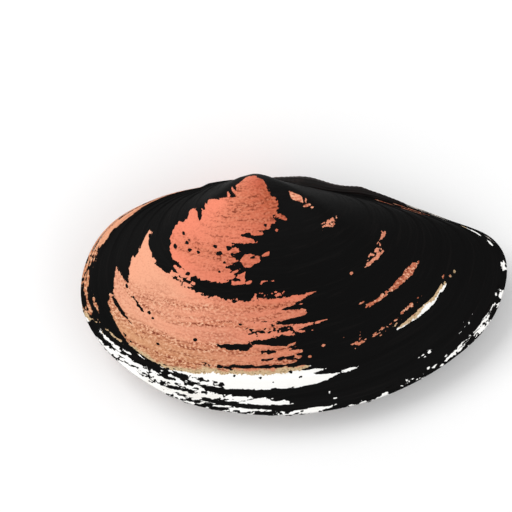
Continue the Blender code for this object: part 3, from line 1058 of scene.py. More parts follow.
class Effects:
    """The node groups that several materials share, each built once."""

    def __init__(self) -> None:
        """Builds the groups."""
        self.lines = self._growth_lines()
        self.flecks = self._flecked_edge()
        self.grain = self._grain()

    @staticmethod
    def _growth_lines() -> bpy.types.NodeTree:
        """Fine uneven lines that follow the growth lines: noise drawn out along them.

        Returns:
            The group, which puts out a mask of the lines and their height.
        """
        tree, graph, given, target = new_group(
            "growth_lines",
            {"Map": ("Vector", 0.0), "Lines": ("Float", 90.0), "Round": ("Float", 14.0)},
            {"Line": "Float", "Height": "Float"},
        )
        parts = graph.node("SeparateXYZ", {"Vector": given["Map"]}).outputs
        drift = graph.noise(given["Map"], (5.0, 9.0, 1.0), 1.0)
        drift = graph.times(graph.math("SUBTRACT", drift, 0.5), 0.03)
        size = graph.plus(parts["Y"], drift)
        where = graph.node(
            "CombineXYZ",
            {
                "X": graph.times(parts["X"], given["Round"]),
                "Y": graph.times(size, given["Lines"]),
            },
        ).outputs["Vector"]
        height = graph.noise(where, (1.0, 1.0, 1.0), 4.0, 0.6)
        graph.plug(target.inputs["Line"], graph.remap(height, 0.52, 0.68))
        graph.plug(target.inputs["Height"], height)
        return tree

    @staticmethod
    def _flecked_edge() -> bpy.types.NodeTree:
        """The mask of the worn black skin and painted shade: its cover is shifted by drawn-out flecks and by
        round blots.

        Returns:
            The group, which puts out the mask and the layer's thickness near its edges.
        """
        tree, graph, given, target = new_group(
            "flecked_edge",
            {
                "Cover": ("Float", 0.0), "Map": ("Vector", 0.0), "Place": ("Vector", 0.0),
                "Flecking": ("Float", 0.8),
            },
            {"Mask": "Float", "Thickness": "Float"},
        )
        drawn_out = graph.noise(given["Map"], (190.0, 105.0, 1.0), 2.0, 0.5)
        blots = graph.noise(given["Place"], (1100.0, 1100.0, 1100.0), 2.0, 0.5)
        fleck = graph.math("SUBTRACT", graph.plus(drawn_out, blots), 1.0)
        fleck = graph.times(fleck, given["Flecking"])
        cover = graph.plus(given["Cover"], fleck)
        graph.plug(target.inputs["Mask"], graph.remap(cover, -0.05, 0.05))
        graph.plug(target.inputs["Thickness"], graph.remap(cover, -0.1, 0.35))
        return tree

    @staticmethod
    def _grain() -> bpy.types.NodeTree:
        """Fine pits and speckles that have no direction.

        Returns:
            The group, which puts out a mask of the speckles and the pits' height.
        """
        tree, graph, given, target = new_group(
            "grain",
            {"Place": ("Vector", 0.0), "Cells": ("Float", 4000.0)},
            {"Speck": "Float", "Height": "Float"},
        )
        inputs = {"Vector": given["Place"], "Scale": given["Cells"], "Detail": 3.0, "Roughness": 0.7}
        height = graph.node("TexNoise", inputs).outputs["Fac"]
        graph.plug(target.inputs["Speck"], graph.remap(height, 0.50, 0.64))
        graph.plug(target.inputs["Height"], height)
        return tree


@dataclass(frozen=True)
class Surface:
    """What a finish feeds into its shader."""

    colour: bpy.types.NodeSocket
    roughness: bpy.types.NodeSocket | float
    height: bpy.types.NodeSocket | None = None


@dataclass(frozen=True)
class Finish:
    """What all finishes share: one shader with a colour, a roughness and a bumpy height."""

    gloss: float = 0.5
    bump: float = 0.0
    bump_depth: float = 0.1 * MM

    def surface(self, graph: Graph, effects: Effects) -> Surface:
        """Draws the finish's colour, roughness and height. Each finish has its own.

        Args:
            graph: The material's graph.
            effects: The shared node groups.

        Returns:
            The sockets for the shader.
        """
        raise NotImplementedError

    def build(self, name: str, effects: Effects) -> bpy.types.Material:
        """Builds the material.

        Args:
            name: Its name.
            effects: The shared node groups.

        Returns:
            The material.
        """
        material = bpy.data.materials.new(name)
        material.use_nodes = True
        graph = Graph(material.node_tree)
        shader = material.node_tree.nodes["Principled BSDF"]
        surface = self.surface(graph, effects)
        graph.plug(shader.inputs["Base Color"], surface.colour)
        graph.plug(shader.inputs["Roughness"], surface.roughness)
        shader.inputs["Specular IOR Level"].default_value = self.gloss
        if surface.height is not None:
            inputs = {"Height": surface.height, "Strength": self.bump, "Distance": self.bump_depth}
            graph.plug(shader.inputs["Normal"], graph.node("Bump", inputs).outputs["Normal"])
        return material


@dataclass(frozen=True)
class OuterFinish(Finish):
    """A valve's outside: salmon disc, frayed tan edge, bare chalk past it, worn black skin that also paints
    shade.
    """

    salmon: Colour = from_screen(233, 134, 106)
    umber: Colour = from_screen(187, 84, 60)
    peach: Colour = from_screen(236, 168, 136)
    tan: Colour = from_screen(216, 158, 118)
    ray: Colour = from_screen(150, 62, 44)
    band: Colour = from_screen(182, 108, 70)
    stroke: Colour = from_screen(130, 60, 40)
    glint: Colour = from_screen(252, 206, 172)
    frayed: Colour = from_screen(208, 182, 144)
    olive: Colour = from_screen(122, 98, 58)
    chalk: Colour = from_screen(254, 253, 250)
    chalk_stain: Colour = from_screen(226, 219, 206)
    # The black skin's colours, which also paint the shell's shade where the skin lies.
    skin: Colour = (0.0012, 0.0011, 0.0011)
    worn_skin_and_shade: Colour = (0.0055, 0.0045, 0.0042)
    flecking: float = 1.6
    gloss: float = 0.07
    bump: float = 0.5
    bump_depth: float = 0.12 * MM

    def surface(self, graph: Graph, effects: Effects) -> Surface:
        """Draws the finish.

        Args:
            graph: The material's graph.
            effects: The shared node groups.

        Returns:
            The sockets for the shader.
        """
        drawn = graph.drawn_map()
        place = graph.object_place()
        bands = graph.node("Group", {"Map": drawn, "Lines": 60.0, "Round": 12.0}, node_tree=effects.lines)
        strokes = graph.node("Group", {"Map": drawn, "Lines": 190.0, "Round": 400.0}, node_tree=effects.lines)
        grain = graph.node("Group", {"Place": place, "Cells": 2600.0}, node_tree=effects.grain)
        disc = self._disc(graph, bands, strokes, grain)
        bare = self._bare(graph, disc, place, grain)
        # worn is the mask of the black skin and painted shade, and black is its colour.
        worn = graph.node(
            "Group",
            {"Cover": graph.attribute("skin_and_shade_cover"), "Map": drawn, "Place": place, "Flecking": self.flecking},
            node_tree=effects.flecks,
        )
        black = graph.mix(graph.times(bands.outputs["Line"], 0.4), self.skin, self.worn_skin_and_shade)
        colour = graph.mix(worn.outputs["Mask"], bare, black)
        roughness = graph.remap(worn.outputs["Mask"], 0.0, 1.0, 0.55, 0.62)
        height = graph.times(bands.outputs["Height"], 0.6)
        height = graph.plus(height, graph.times(strokes.outputs["Height"], 0.35))
        height = graph.plus(height, graph.times(grain.outputs["Height"], 0.15))
        height = graph.plus(height, graph.times(worn.outputs["Thickness"], 0.8))
        return Surface(colour, roughness, height)

    def _disc(
        self, graph: Graph, bands: bpy.types.Node, strokes: bpy.types.Node, grain: bpy.types.Node
    ) -> bpy.types.NodeSocket:
        """The coloured disc: salmon that turns peach, tan and umber, with rays and brown strokes.

        Args:
            graph: The material's graph.
            bands: The broad growth lines' group node.
            strokes: The fine growth lines' group node, which it does not use.
            grain: The speckles' group node.

        Returns:
            The colour's socket.
        """
        colour = graph.mix(graph.attribute("peach"), self.salmon, self.peach)
        colour = graph.mix(graph.attribute("tan"), colour, self.tan)
        colour = graph.mix(graph.attribute("umber"), colour, self.umber)
        colour = graph.mix(graph.attribute("ray"), colour, self.ray)
        banding = graph.attribute("banding")
        streaky = graph.times(graph.remap(bands.outputs["Height"], 0.42, 0.66), banding)
        colour = graph.mix(graph.times(streaky, 0.3), colour, self.stroke)
        colour = graph.mix(graph.times(graph.math("POWER", banding, 2.0), 0.4), colour, self.band)
        marks = graph.plus(graph.times(streaky, 0.6), graph.times(banding, 0.65))
        crayon = graph.noise(graph.object_place(), (1700.0, 2300.0, 2300.0), 2.0, 0.6)
        dark = graph.times(marks, graph.remap(crayon, 0.50, 0.58))
        light = graph.times(marks, graph.remap(crayon, 0.47, 0.39))
        dark = graph.times(dark, graph.remap(bands.outputs["Height"], 0.42, 0.62, 0.45, 1.25))
        colour = graph.mix(graph.times(dark, 0.85), colour, self.stroke)
        light = graph.times(light, graph.remap(graph.attribute("peach"), 0.2, 0.8, 0.12, 0.75))
        colour = graph.mix(light, colour, self.glint)
        return graph.mix(graph.times(grain.outputs["Speck"], 0.16), colour, self.stroke)

    def _bare(
        self,
        graph: Graph,
        disc: bpy.types.NodeSocket,
        place: bpy.types.NodeSocket,
        grain: bpy.types.Node,
    ) -> bpy.types.NodeSocket:
        """The disc, its frayed tan border and the bare chalk past it.

        Args:
            graph: The material's graph.
            disc: The disc's colour.
            place: The place on the object.
            grain: The speckles' group node.

        Returns:
            The colour's socket.
        """
        past = graph.attribute("past_disc")
        crumbs = graph.noise(place, (2400.0, 2400.0, 2400.0), 2.0)
        past = graph.plus(past, graph.times(graph.math("SUBTRACT", crumbs, 0.5), 1.0))
        border = graph.mix(graph.times(grain.outputs["Speck"], 0.8), self.frayed, self.olive)
        colour = graph.mix(graph.remap(past, -1.2, -0.5, 0.0, 0.95), disc, border)
        stain = graph.remap(graph.noise(place, (160.0, 160.0, 160.0), 4.0), 0.5, 0.8, 0.0, 0.4)
        chalk = graph.mix(stain, self.chalk, self.chalk_stain)
        return graph.mix(graph.remap(past, -0.08, 0.08), colour, chalk)


@dataclass(frozen=True)
class InnerFinish(Finish):
    """A valve's inside: smooth porcelain, pink in the middle, with muscle scars and faint growth lines."""

    porcelain: Colour = from_screen(250, 240, 230)
    blush: Colour = from_screen(240, 170, 148)
    scar: Colour = from_screen(222, 204, 190)
    bump: float = 0.15

    def surface(self, graph: Graph, effects: Effects) -> Surface:
        """Draws the finish.

        Args:
            graph: The material's graph.
            effects: The shared node groups.

        Returns:
            The sockets for the shader.
        """
        growth, place = graph.growth_map(), graph.object_place()
        lines = graph.node("Group", {"Map": growth, "Lines": 40.0, "Round": 9.0}, node_tree=effects.lines)
        grain = graph.node("Group", {"Place": place, "Cells": 900.0}, node_tree=effects.grain)
        share = graph.node("SeparateXYZ", {"Vector": growth}).outputs["Y"]
        cloud = graph.noise(place, (70.0, 70.0, 70.0), 3.0)
        blush = graph.times(graph.remap(share, 0.95, 0.3), graph.remap(cloud, 0.3, 0.7, 0.4, 1.0))
        colour = graph.mix(blush, self.porcelain, self.blush)
        colour = graph.mix(graph.times(graph.attribute("scar"), 0.6), colour, self.scar)
        colour = graph.mix(graph.times(lines.outputs["Line"], 0.12), colour, self.scar)
        roughness = graph.remap(graph.attribute("scar"), 0.0, 1.0, 0.22, 0.45)
        height = graph.plus(lines.outputs["Height"], grain.outputs["Height"])
        return Surface(colour, roughness, height)


@dataclass(frozen=True)
class HornFinish(Finish):
    """The ligament: nearly black horn, dark brown along its fibres and on its worn crest."""

    horn: Colour = from_screen(13, 9, 8)
    worn: Colour = from_screen(36, 19, 13)
    pale: Colour = from_screen(66, 36, 22)
    gloss: float = 0.15
    bump: float = 0.6

    def surface(self, graph: Graph, effects: Effects) -> Surface:
        """Draws the finish.

        Args:
            graph: The material's graph.
            effects: The shared node groups.

        Returns:
            The sockets for the shader.
        """
        growth, place = graph.growth_map(), graph.object_place()
        fibres = graph.node("Group", {"Map": growth, "Lines": 7.0, "Round": 60.0}, node_tree=effects.lines)
        grain = graph.node("Group", {"Place": place, "Cells": 3000.0}, node_tree=effects.grain)
        colour = graph.mix(graph.times(fibres.outputs["Line"], 0.7), self.horn, self.worn)
        colour = graph.mix(graph.times(graph.attribute("wear"), 0.6), colour, self.pale)
        roughness = graph.remap(grain.outputs["Height"], 0.3, 0.7, 0.38, 0.6)
        pits = graph.times(grain.outputs["Height"], 0.3)
        return Surface(colour, roughness, graph.plus(fibres.outputs["Height"], pits))


@dataclass(frozen=True)
class FlakeFinish(Finish):
    """Loose flakes of the black skin, whose black is painted shade as well: dull, with a brown cast where
    they are thin.
    """

    # The flakes' black, painted shade as well as skin.
    skin: Colour = (0.0016, 0.0014, 0.0014)
    thin: Colour = from_screen(30, 21, 17)
    gloss: float = 0.08
    bump: float = 0.4
    bump_depth: float = 0.05 * MM

    def surface(self, graph: Graph, effects: Effects) -> Surface:
        """Draws the finish.

        Args:
            graph: The material's graph.
            effects: The shared node groups.

        Returns:
            The sockets for the shader.
        """
        grain = graph.node("Group", {"Place": graph.object_place(), "Cells": 3500.0}, node_tree=effects.grain)
        colour = graph.mix(graph.times(grain.outputs["Speck"], 0.6), self.skin, self.thin)
        roughness = graph.remap(grain.outputs["Height"], 0.3, 0.7, 0.6, 0.8)
        return Surface(colour, roughness, grain.outputs["Height"])


@dataclass(frozen=True)
class FloorFinish(Finish):
    """A plain pale floor with the faintest mottling."""

    pale: Colour = (0.92, 0.92, 0.92)
    mottle: Colour = (0.90, 0.90, 0.90)
    roughness: float = 0.9
    gloss: float = 0.1

    def surface(self, graph: Graph, effects: Effects) -> Surface:
        """Draws the finish, which needs none of the shared groups.

        Args:
            graph: The material's graph.
            effects: The shared node groups, which it does not use.

        Returns:
            The sockets for the shader.
        """
        cloud = graph.noise(graph.object_place(), (3.0, 3.0, 3.0), 2.0)
        return Surface(graph.mix(cloud, self.pale, self.mottle), self.roughness)


def loft_object(
    name: str,
    rings: np.ndarray,
    row_maps: np.ndarray,
    around: np.ndarray,
) -> bpy.types.Object:
    """Makes an object of rings of points, joined in order into one closed skin.

    Quads join each ring to the next, and a fan joins an end ring to its middle. The map's first
    number is the share round and its second is the row's own, which may differ on the two sides
    of a ring.

    Args:
        name: The object's name.
        rings: Points, as rings by places round by 3.
        row_maps: For each row of quads, the map's second number at its first and last ring.
        around: Share round of each place, from 0, rising to under 1.

    Returns:
        The object, linked to the scene.
    """
    rows, count = rings.shape[:2]
    here = np.arange(count)
    after = (here + 1) % count
    first = (np.arange(rows - 1) * count)[:, None]
    quads = np.stack([first + here, first + after, first + after + count, first + here + count], axis=-1)
    u = np.stack([around, np.r_[around[1:], 1.0]], axis=-1)
    quad_u = np.broadcast_to(u[None, :, [0, 1, 1, 0]], (rows - 1, count, 4))
    quad_v = np.broadcast_to(row_maps[:, None, [0, 0, 1, 1]], (rows - 1, count, 4))
    maps = [np.stack([quad_u, quad_v], axis=-1).reshape(-1, 2)]
    points = rings.reshape(-1, 3)
    faces = [quads.reshape(-1, 4)]
    for end, (ring, v) in enumerate(((0, row_maps[0, 0]), (rows - 1, row_maps[-1, 1]))):
        pole = len(points)
        points = np.concatenate([points, rings[ring].mean(axis=0, keepdims=True)])
        near, far = ring * count + here, ring * count + after
        order = (far, near) if end == 0 else (near, far)
        faces.append(np.stack([*order, np.full(count, pole)], axis=-1))
        fan_u = np.stack([u[:, 1], u[:, 0]] if end == 0 else [u[:, 0], u[:, 1]], axis=-1)
        fan_u = np.column_stack([fan_u, u.mean(axis=1)])
        maps.append(np.stack([fan_u, np.full_like(fan_u, v)], axis=-1).reshape(-1, 2))
    loops = np.concatenate([part.reshape(-1) for part in faces])
    sizes = np.concatenate([np.full(len(part), part.shape[1]) for part in faces])
    return object_of(name, points, loops, sizes, np.concatenate(maps))


def object_of(
    name: str, points: np.ndarray, loops: np.ndarray, sizes: np.ndarray, maps: np.ndarray
) -> bpy.types.Object:
    """Makes a smooth-shaded object from whole arrays.

    Args:
        name: The object's name.
        points: Its points.
        loops: The point of each face corner, face after face.
        sizes: The number of corners of each face.
        maps: The growth map at each face corner.

    Returns:
        The object, linked to the scene.
    """
    mesh = bpy.data.meshes.new(name)
    mesh.vertices.add(len(points))
    mesh.vertices.foreach_set("co", points.astype(np.float32).ravel())
    mesh.loops.add(len(loops))
    mesh.loops.foreach_set("vertex_index", loops.astype(np.int32))
    mesh.polygons.add(len(sizes))
    mesh.polygons.foreach_set("loop_start", np.r_[0, np.cumsum(sizes)[:-1]].astype(np.int32))
    mesh.update(calc_edges=True)
    layer = mesh.uv_layers.new(name=GROWTH_MAP)
    layer.uv.foreach_set("vector", maps.astype(np.float32).ravel())
    mesh.shade_smooth()
    mesh.validate()
    made = bpy.data.objects.new(name, mesh)
    bpy.context.scene.collection.objects.link(made)
    return made


def carry(piece: bpy.types.Object, name: str, values: np.ndarray) -> None:
    """Stores a number for each point of a piece, for its material to read.

    Args:
        piece: The piece.
        name: The name under which the material reads it.
        values: The numbers in the order of the points. Those that are missing become 0.
    """
    attribute = piece.data.attributes.new(name, "FLOAT", "POINT")
    padded = np.zeros(len(piece.data.vertices), np.float32)
    padded[: values.size] = values.ravel()
    attribute.data.foreach_set("value", padded)


def triangle_count(piece: bpy.types.Object) -> int:
    """The number of triangles of a piece."""
    return sum(len(face.vertices) - 2 for face in piece.data.polygons)


@dataclass
class Valve:
    """One valve: the outer face with its relief, the lip, the hinge plate and the hollow."""

    side: Side
    seed: int
    pattern: SkinAndShadePattern
    form: ShellForm = FORM
    relief: Relief = Relief()
    tints: Tints = Tints()
    teeth: HingeTeeth = HingeTeeth()
    scars_mm: tuple[tuple[float, float, float, float], ...] = (
        (-24.0, -17.0, 4.5, 6.5),
        (34.0, -15.0, 6.0, 5.0),
    )  # middle and half widths along X and Y
    places_round: int = 410
    hinge_crowding: float = 0.65
    hinge_spread: float = 9 * MM
    outer_rows: int = 178
    beak_rows: int = 12
    beak_from: float = 0.07
    beak_tip: float = 0.014
    cavity_rows: int = 34
    cavity_crowding: float = 0.85  # under 1, the rings stand closer together near the rim
    cavity_squareness: int = 8  # a greater power brings the hollow down more steeply at its rim
    plate_rows: int = 8
    inside_value: float = -2.0  # of the outside's numbers on the inside, under all their limits

    @property
    def name(self) -> str:
        """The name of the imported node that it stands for."""
        return f"{self.side.name.lower()}_valve"

    def around(self) -> np.ndarray:
        """Spreads the places round a ring, nearly three times closer together at the hinge.

        The spacing is 1 - crowding * exp(-(way from the hinge / spread) squared), and places
        stand at even steps of the sum of its inverse.

        Returns:
            Shares of the way round, from 0.
        """
        share = np.linspace(0.0, 1.0, 2000)
        from_hinge = np.minimum(share, 1.0 - share) * self.form.edge_length()
        spacing = 1.0 - self.hinge_crowding * np.exp(-((from_hinge / self.hinge_spread) ** 2))
        ticks = np.r_[0.0, np.cumsum(1.0 / spacing[:-1])]
        wanted = np.linspace(0.0, ticks[-1], self.places_round, endpoint=False)
        return np.interp(wanted, ticks, share)

    def sizes(self) -> np.ndarray:
        """Growth sizes of the outer rings: even steps, then ever smaller ones on the beak.

        Returns:
            The sizes, from the edge to the beak's tip.
        """
        even = np.linspace(1.0, self.beak_from, self.outer_rows, endpoint=False)
        beak = np.geomspace(self.beak_from, self.beak_tip, self.beak_rows)
        return np.concatenate([even, beak])

    def outer_rings(self, around: np.ndarray) -> tuple[np.ndarray, dict[str, np.ndarray]]:
        """The outer face's rings, and the numbers that its material reads.

        Args:
            around: Shares of the way round.

        Returns:
            The rings of the left valve's form, and arrays of rings by places by name.
        """
        size = np.repeat(self.sizes()[:, None], len(around), axis=1)
        way = np.repeat(around[None, :], len(size), axis=0)
        edge = self.form.edge_at(way)
        bearing = self.form.bearing_of(edge)
        # cover says where the black skin and painted shade lie.
        cover = self.pattern.cover(way, bearing, size, self.seed)
        height = self.relief.height(way, size, -edge[..., 1], self.seed + SeedStep.RELIEF)
        fade = smooth_step(1.0 - size, 0.0, 0.01) * np.clip(-edge[..., 1] / (3 * MM), 0.0, 1.0)
        height = height + self.relief.skin_thickness * smooth_step(cover, -0.05, 0.25) * fade
        rings = self.form.place(edge, size) + self.form.outward(way, size) * height[..., None]
        rings[..., 1] += self.relief.hinge_skin(rings)
        rings[..., 2] = np.maximum(rings[..., 2], 0.0) + self.form.seam / 2
        past_disc = self.pattern.past_disc(way, bearing, size, self.seed + SeedStep.DISC_EDGE)
        tints_seed = self.seed + SeedStep.TINTS
        strengths = self.tints.strengths(way, bearing, size, self.pattern.rays, tints_seed)
        return rings, {"skin_and_shade_cover": cover, "past_disc": past_disc, **strengths}

    def inner_edge(self, edge: np.ndarray) -> np.ndarray:
        """The edge drawn in by the lip's width, and by the hinge plate's near the beaks.

        Args:
            edge: Points of the full edge, in order round it.

        Returns:
            The points of the hollow's rim.
        """
        tangent = np.roll(edge, -1, axis=0) - np.roll(edge, 1, axis=0)
        tangent /= np.linalg.norm(tangent, axis=1, keepdims=True)
        inward = np.column_stack([-tangent[:, 1], tangent[:, 0]])
        reach = self.form.hinge_plate_reach
        dorsal = np.clip(1.0 + edge[:, 1] / reach, 0.0, 1.0)
        plate = np.exp(-((edge[:, 0] / reach) ** 2)) * dorsal
        width = self.form.lip_width + (self.form.hinge_plate_width - self.form.lip_width) * plate
        return edge + inward * width[:, None]

    def inner_rings(self, around: np.ndarray) -> tuple[np.ndarray, np.ndarray]:
        """The hollow's rings from its middle out, then the lip's and hinge plate's.

        The hollow lies one wall under the roof, measured along the roof's normal, and comes down
        to the seam at the inner edge.

        Args:
            around: Shares of the way round.

        Returns:
            The rings of the left valve's form, and each ring's share of the way out, which
            stays 1 on the lip.
        """
        edge = self.form.edge_at(around)
        inner = self.inner_edge(edge)
        middle = edge.mean(axis=0)
        shares = np.linspace(1.0 / self.cavity_rows, 1.0, self.cavity_rows) ** self.cavity_crowding
        plan = middle + (inner - middle)[None] * shares[:, None, None]
        step = 0.1 * MM
        roof = self.form.roof(plan)
        slopes = [(self.form.roof(plan + np.array(way) * step) - roof) / step for way in ((1, 0), (0, -1))]
        upright = 1.0 / np.sqrt(1.0 + slopes[0] ** 2 + slopes[1] ** 2)
        under = roof - self.form.wall / np.maximum(upright, self.form.least_roof_slope)
        fall = 1.0 - shares[:, None] ** self.cavity_squareness
        height = np.maximum(under, 0.0) * fall + self.form.seam / 2
        hollow = np.concatenate([plan, height[..., None]], axis=-1)
        out = np.linspace(0.0, 1.0, self.plate_rows + 2)[1:-1, None, None]
        plate = inner[None] + (edge - inner)[None] * out
        rise = self.teeth.rise(self.side, plate)
        lip = np.concatenate([plate, (self.form.seam / 2 - rise)[..., None]], axis=-1)
        return np.concatenate([hollow, lip]), np.r_[shares, np.ones(self.plate_rows)]

    def scars(self, rings: np.ndarray) -> np.ndarray:
        """Where the two muscles were fixed inside: ellipses with soft edges.

        Args:
            rings: The inside's rings.

        Returns:
            The strength of the scars at each point, from 0 to 1.
        """
        x, y = rings[..., 0] / MM, rings[..., 1] / MM
        away = [np.hypot((x - cx) / rx, (y - cy) / ry) for cx, cy, rx, ry in self.scars_mm]
        return 1.0 - smooth_step(np.minimum(*away), 0.92, 1.05)

    def build(self, outer: bpy.types.Material, inner: bpy.types.Material) -> bpy.types.Object:
        """Builds the valve, dresses it and sets it in the frame.

        Args:
            outer: The outside's material.
            inner: The inside's material.

        Returns:
            The finished piece.
        """
        around = self.around()
        outer_rings, numbers = self.outer_rings(around)
        inner_rings, shares = self.inner_rings(around)
        rings = np.concatenate([inner_rings, outer_rings])
        if self.side is Side.RIGHT:
            rings = rings * np.array([1.0, 1.0, -1.0])
        inner_maps = np.stack([shares, np.r_[shares[1:], 1.0]], axis=-1)
        sizes = self.sizes()
        maps = np.concatenate([inner_maps, np.stack([sizes[:-1], sizes[1:]], axis=-1)])
        world = POSE.to_world(rings, self.form)
        piece = loft_object(f"{self.name}_shell", world, maps, around)
        if self.side is Side.RIGHT:
            piece.data.flip_normals()
        self.dress(piece, numbers, inner_rings, outer, inner)
        return piece

    def dress(
        self,
        piece: bpy.types.Object,
        numbers: dict[str, np.ndarray],
        inner_rings: np.ndarray,
        outer: bpy.types.Material,
        inner: bpy.types.Material,
    ) -> None:
        """Gives the piece its materials and numbers, and its place in the frame.

        Args:
            piece: The valve's object.
            numbers: The outer face's numbers by name.
            inner_rings: The inside's rings.
            outer: The outside's material.
            inner: The inside's material.
        """
        inside = inner_rings.shape[0] * inner_rings.shape[1]
        for name, values in numbers.items():
            carry(piece, name, np.r_[np.full(inside, self.inside_value), values.ravel()])
        carry(piece, "scar", self.scars(inner_rings))
        piece.data.materials.append(outer)
        piece.data.materials.append(inner)
        count = len(piece.data.polygons)
        slots = np.zeros(count, np.int32)
        slots[:inside] = 1
        slots[count - 2 * self.places_round : count - self.places_round] = 1
        piece.data.polygons.foreach_set("material_index", slots)
        piece.data.update()
        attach(piece, "root")
        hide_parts(self.name)
        f"{self.name}_shell"


@dataclass
class Ligament:
    """The horny band on the hinge line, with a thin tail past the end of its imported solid."""

    crest_mm: Stops = (  # place along X, and height of its top edge
        (2.2, 0.7),
        (3.4, 1.15),
        (10.4, 1.15),
        (12.1, 0.85),
        (13.8, 0.32),
        (15.5, -0.30),
        (17.2, -0.72),
        (19.0, -0.95),
        (22.4, -1.05),
        (24.0, -1.75),
        (27.3, -2.85),
        (32.0, -4.60),
    )
    half_width_mm: Stops = ((2.2, 0.6), (5.0, 1.4), (10.0, 1.6), (15.0, 1.2), (22.0, 0.7), (32.0, 0.3))
    foot: float = 0.8 * MM  # below the valves' edge
    sections: int = 190
    sides: int = 48
    rounding: int = 7  # sections over which the crest's corners are rounded
    fibres: int = 11
    fibre_height: float = 0.05 * MM
    wrinkles: float = 30.0
    wrinkle_height: float = 0.03 * MM
    taper_power: float = 0.35  # a smaller power makes blunter ends
    seed: int = 300

    def hinge_line(self, x: np.ndarray) -> np.ndarray:
        """Height of the valves' edge behind the beaks.

        Args:
            x: Places along X.

        Returns:
            The edge's Y at each place.
        """
        edge, _ = FORM.fine_edge()
        dorsal = edge[(edge[:, 0] > 0.0) & (edge[:, 1] > -9 * MM)]
        dorsal = dorsal[np.argsort(dorsal[:, 0])]
        return np.interp(x, dorsal[:, 0], dorsal[:, 1])

    def build(self, horn: bpy.types.Material) -> bpy.types.Object:
        """Builds the ligament: an ellipse carried along the hinge line, with fibres and wrinkles.

        The radius is the ellipse's plus fibre_height * sin(fibres * angle) and a wrinkle that
        runs across, both shifted by noise.

        Args:
            horn: Its material.

        Returns:
            The finished piece.
        """
        share = (1.0 - np.cos(np.linspace(0.02, math.pi - 0.02, self.sections))) / 2
        ends = self.crest_mm[0][0] * MM, self.crest_mm[-1][0] * MM
        x = ends[0] + (ends[1] - ends[0]) * share
        crest, wide = (along_stops(x / MM, stops) * MM for stops in (self.crest_mm, self.half_width_mm))
        padded = np.pad(crest, self.rounding, mode="reflect", reflect_type="odd")
        window = np.hanning(2 * self.rounding + 3)[1:-1]
        crest = np.convolve(padded, window / window.sum(), mode="valid")
        low = self.hinge_line(x) - self.foot
        middle, height, width = (run[:, None] for run in ((crest + low) / 2, (crest - low) / 2, wide))
        taper = np.sqrt(np.clip(4.0 * share * (1.0 - share), 0.0, 1.0))[:, None] ** self.taper_power
        around = np.arange(self.sides) / self.sides
        angle = 2 * math.pi * around[None, :]
        across = np.repeat(around[None, :], self.sections, axis=0)
        along = np.repeat(share[:, None], self.sides, axis=1)
        drift = lattice_noise(across, along, (9, 14), self.seed)
        fibre = self.fibre_height * np.sin(self.fibres * angle + 1.5 * drift)
        wrinkle = self.wrinkle_height * np.sin(2 * math.pi * self.wrinkles * along + 2.0 * drift)
        proud = (fibre + wrinkle * np.cos(angle / 2) ** 2) * taper
        up = middle + (height * taper + proud) * np.cos(angle)
        out = (width * taper + proud) * np.sin(angle)
        rings = np.stack([np.broadcast_to(x[:, None], up.shape), up, out], axis=-1)
        maps = np.stack([share[:-1], share[1:]], axis=-1)
        world = POSE.to_world(rings, FORM)
        piece = loft_object("ligament_horn", world, maps, around)
        worn = smooth_step(np.cos(angle), 0.8, 1.0) * (0.6 + 0.4 * drift)
        carry(piece, "wear", worn)
        piece.data.materials.append(horn)
        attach(piece, "root")
        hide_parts("ligament")
        return piece


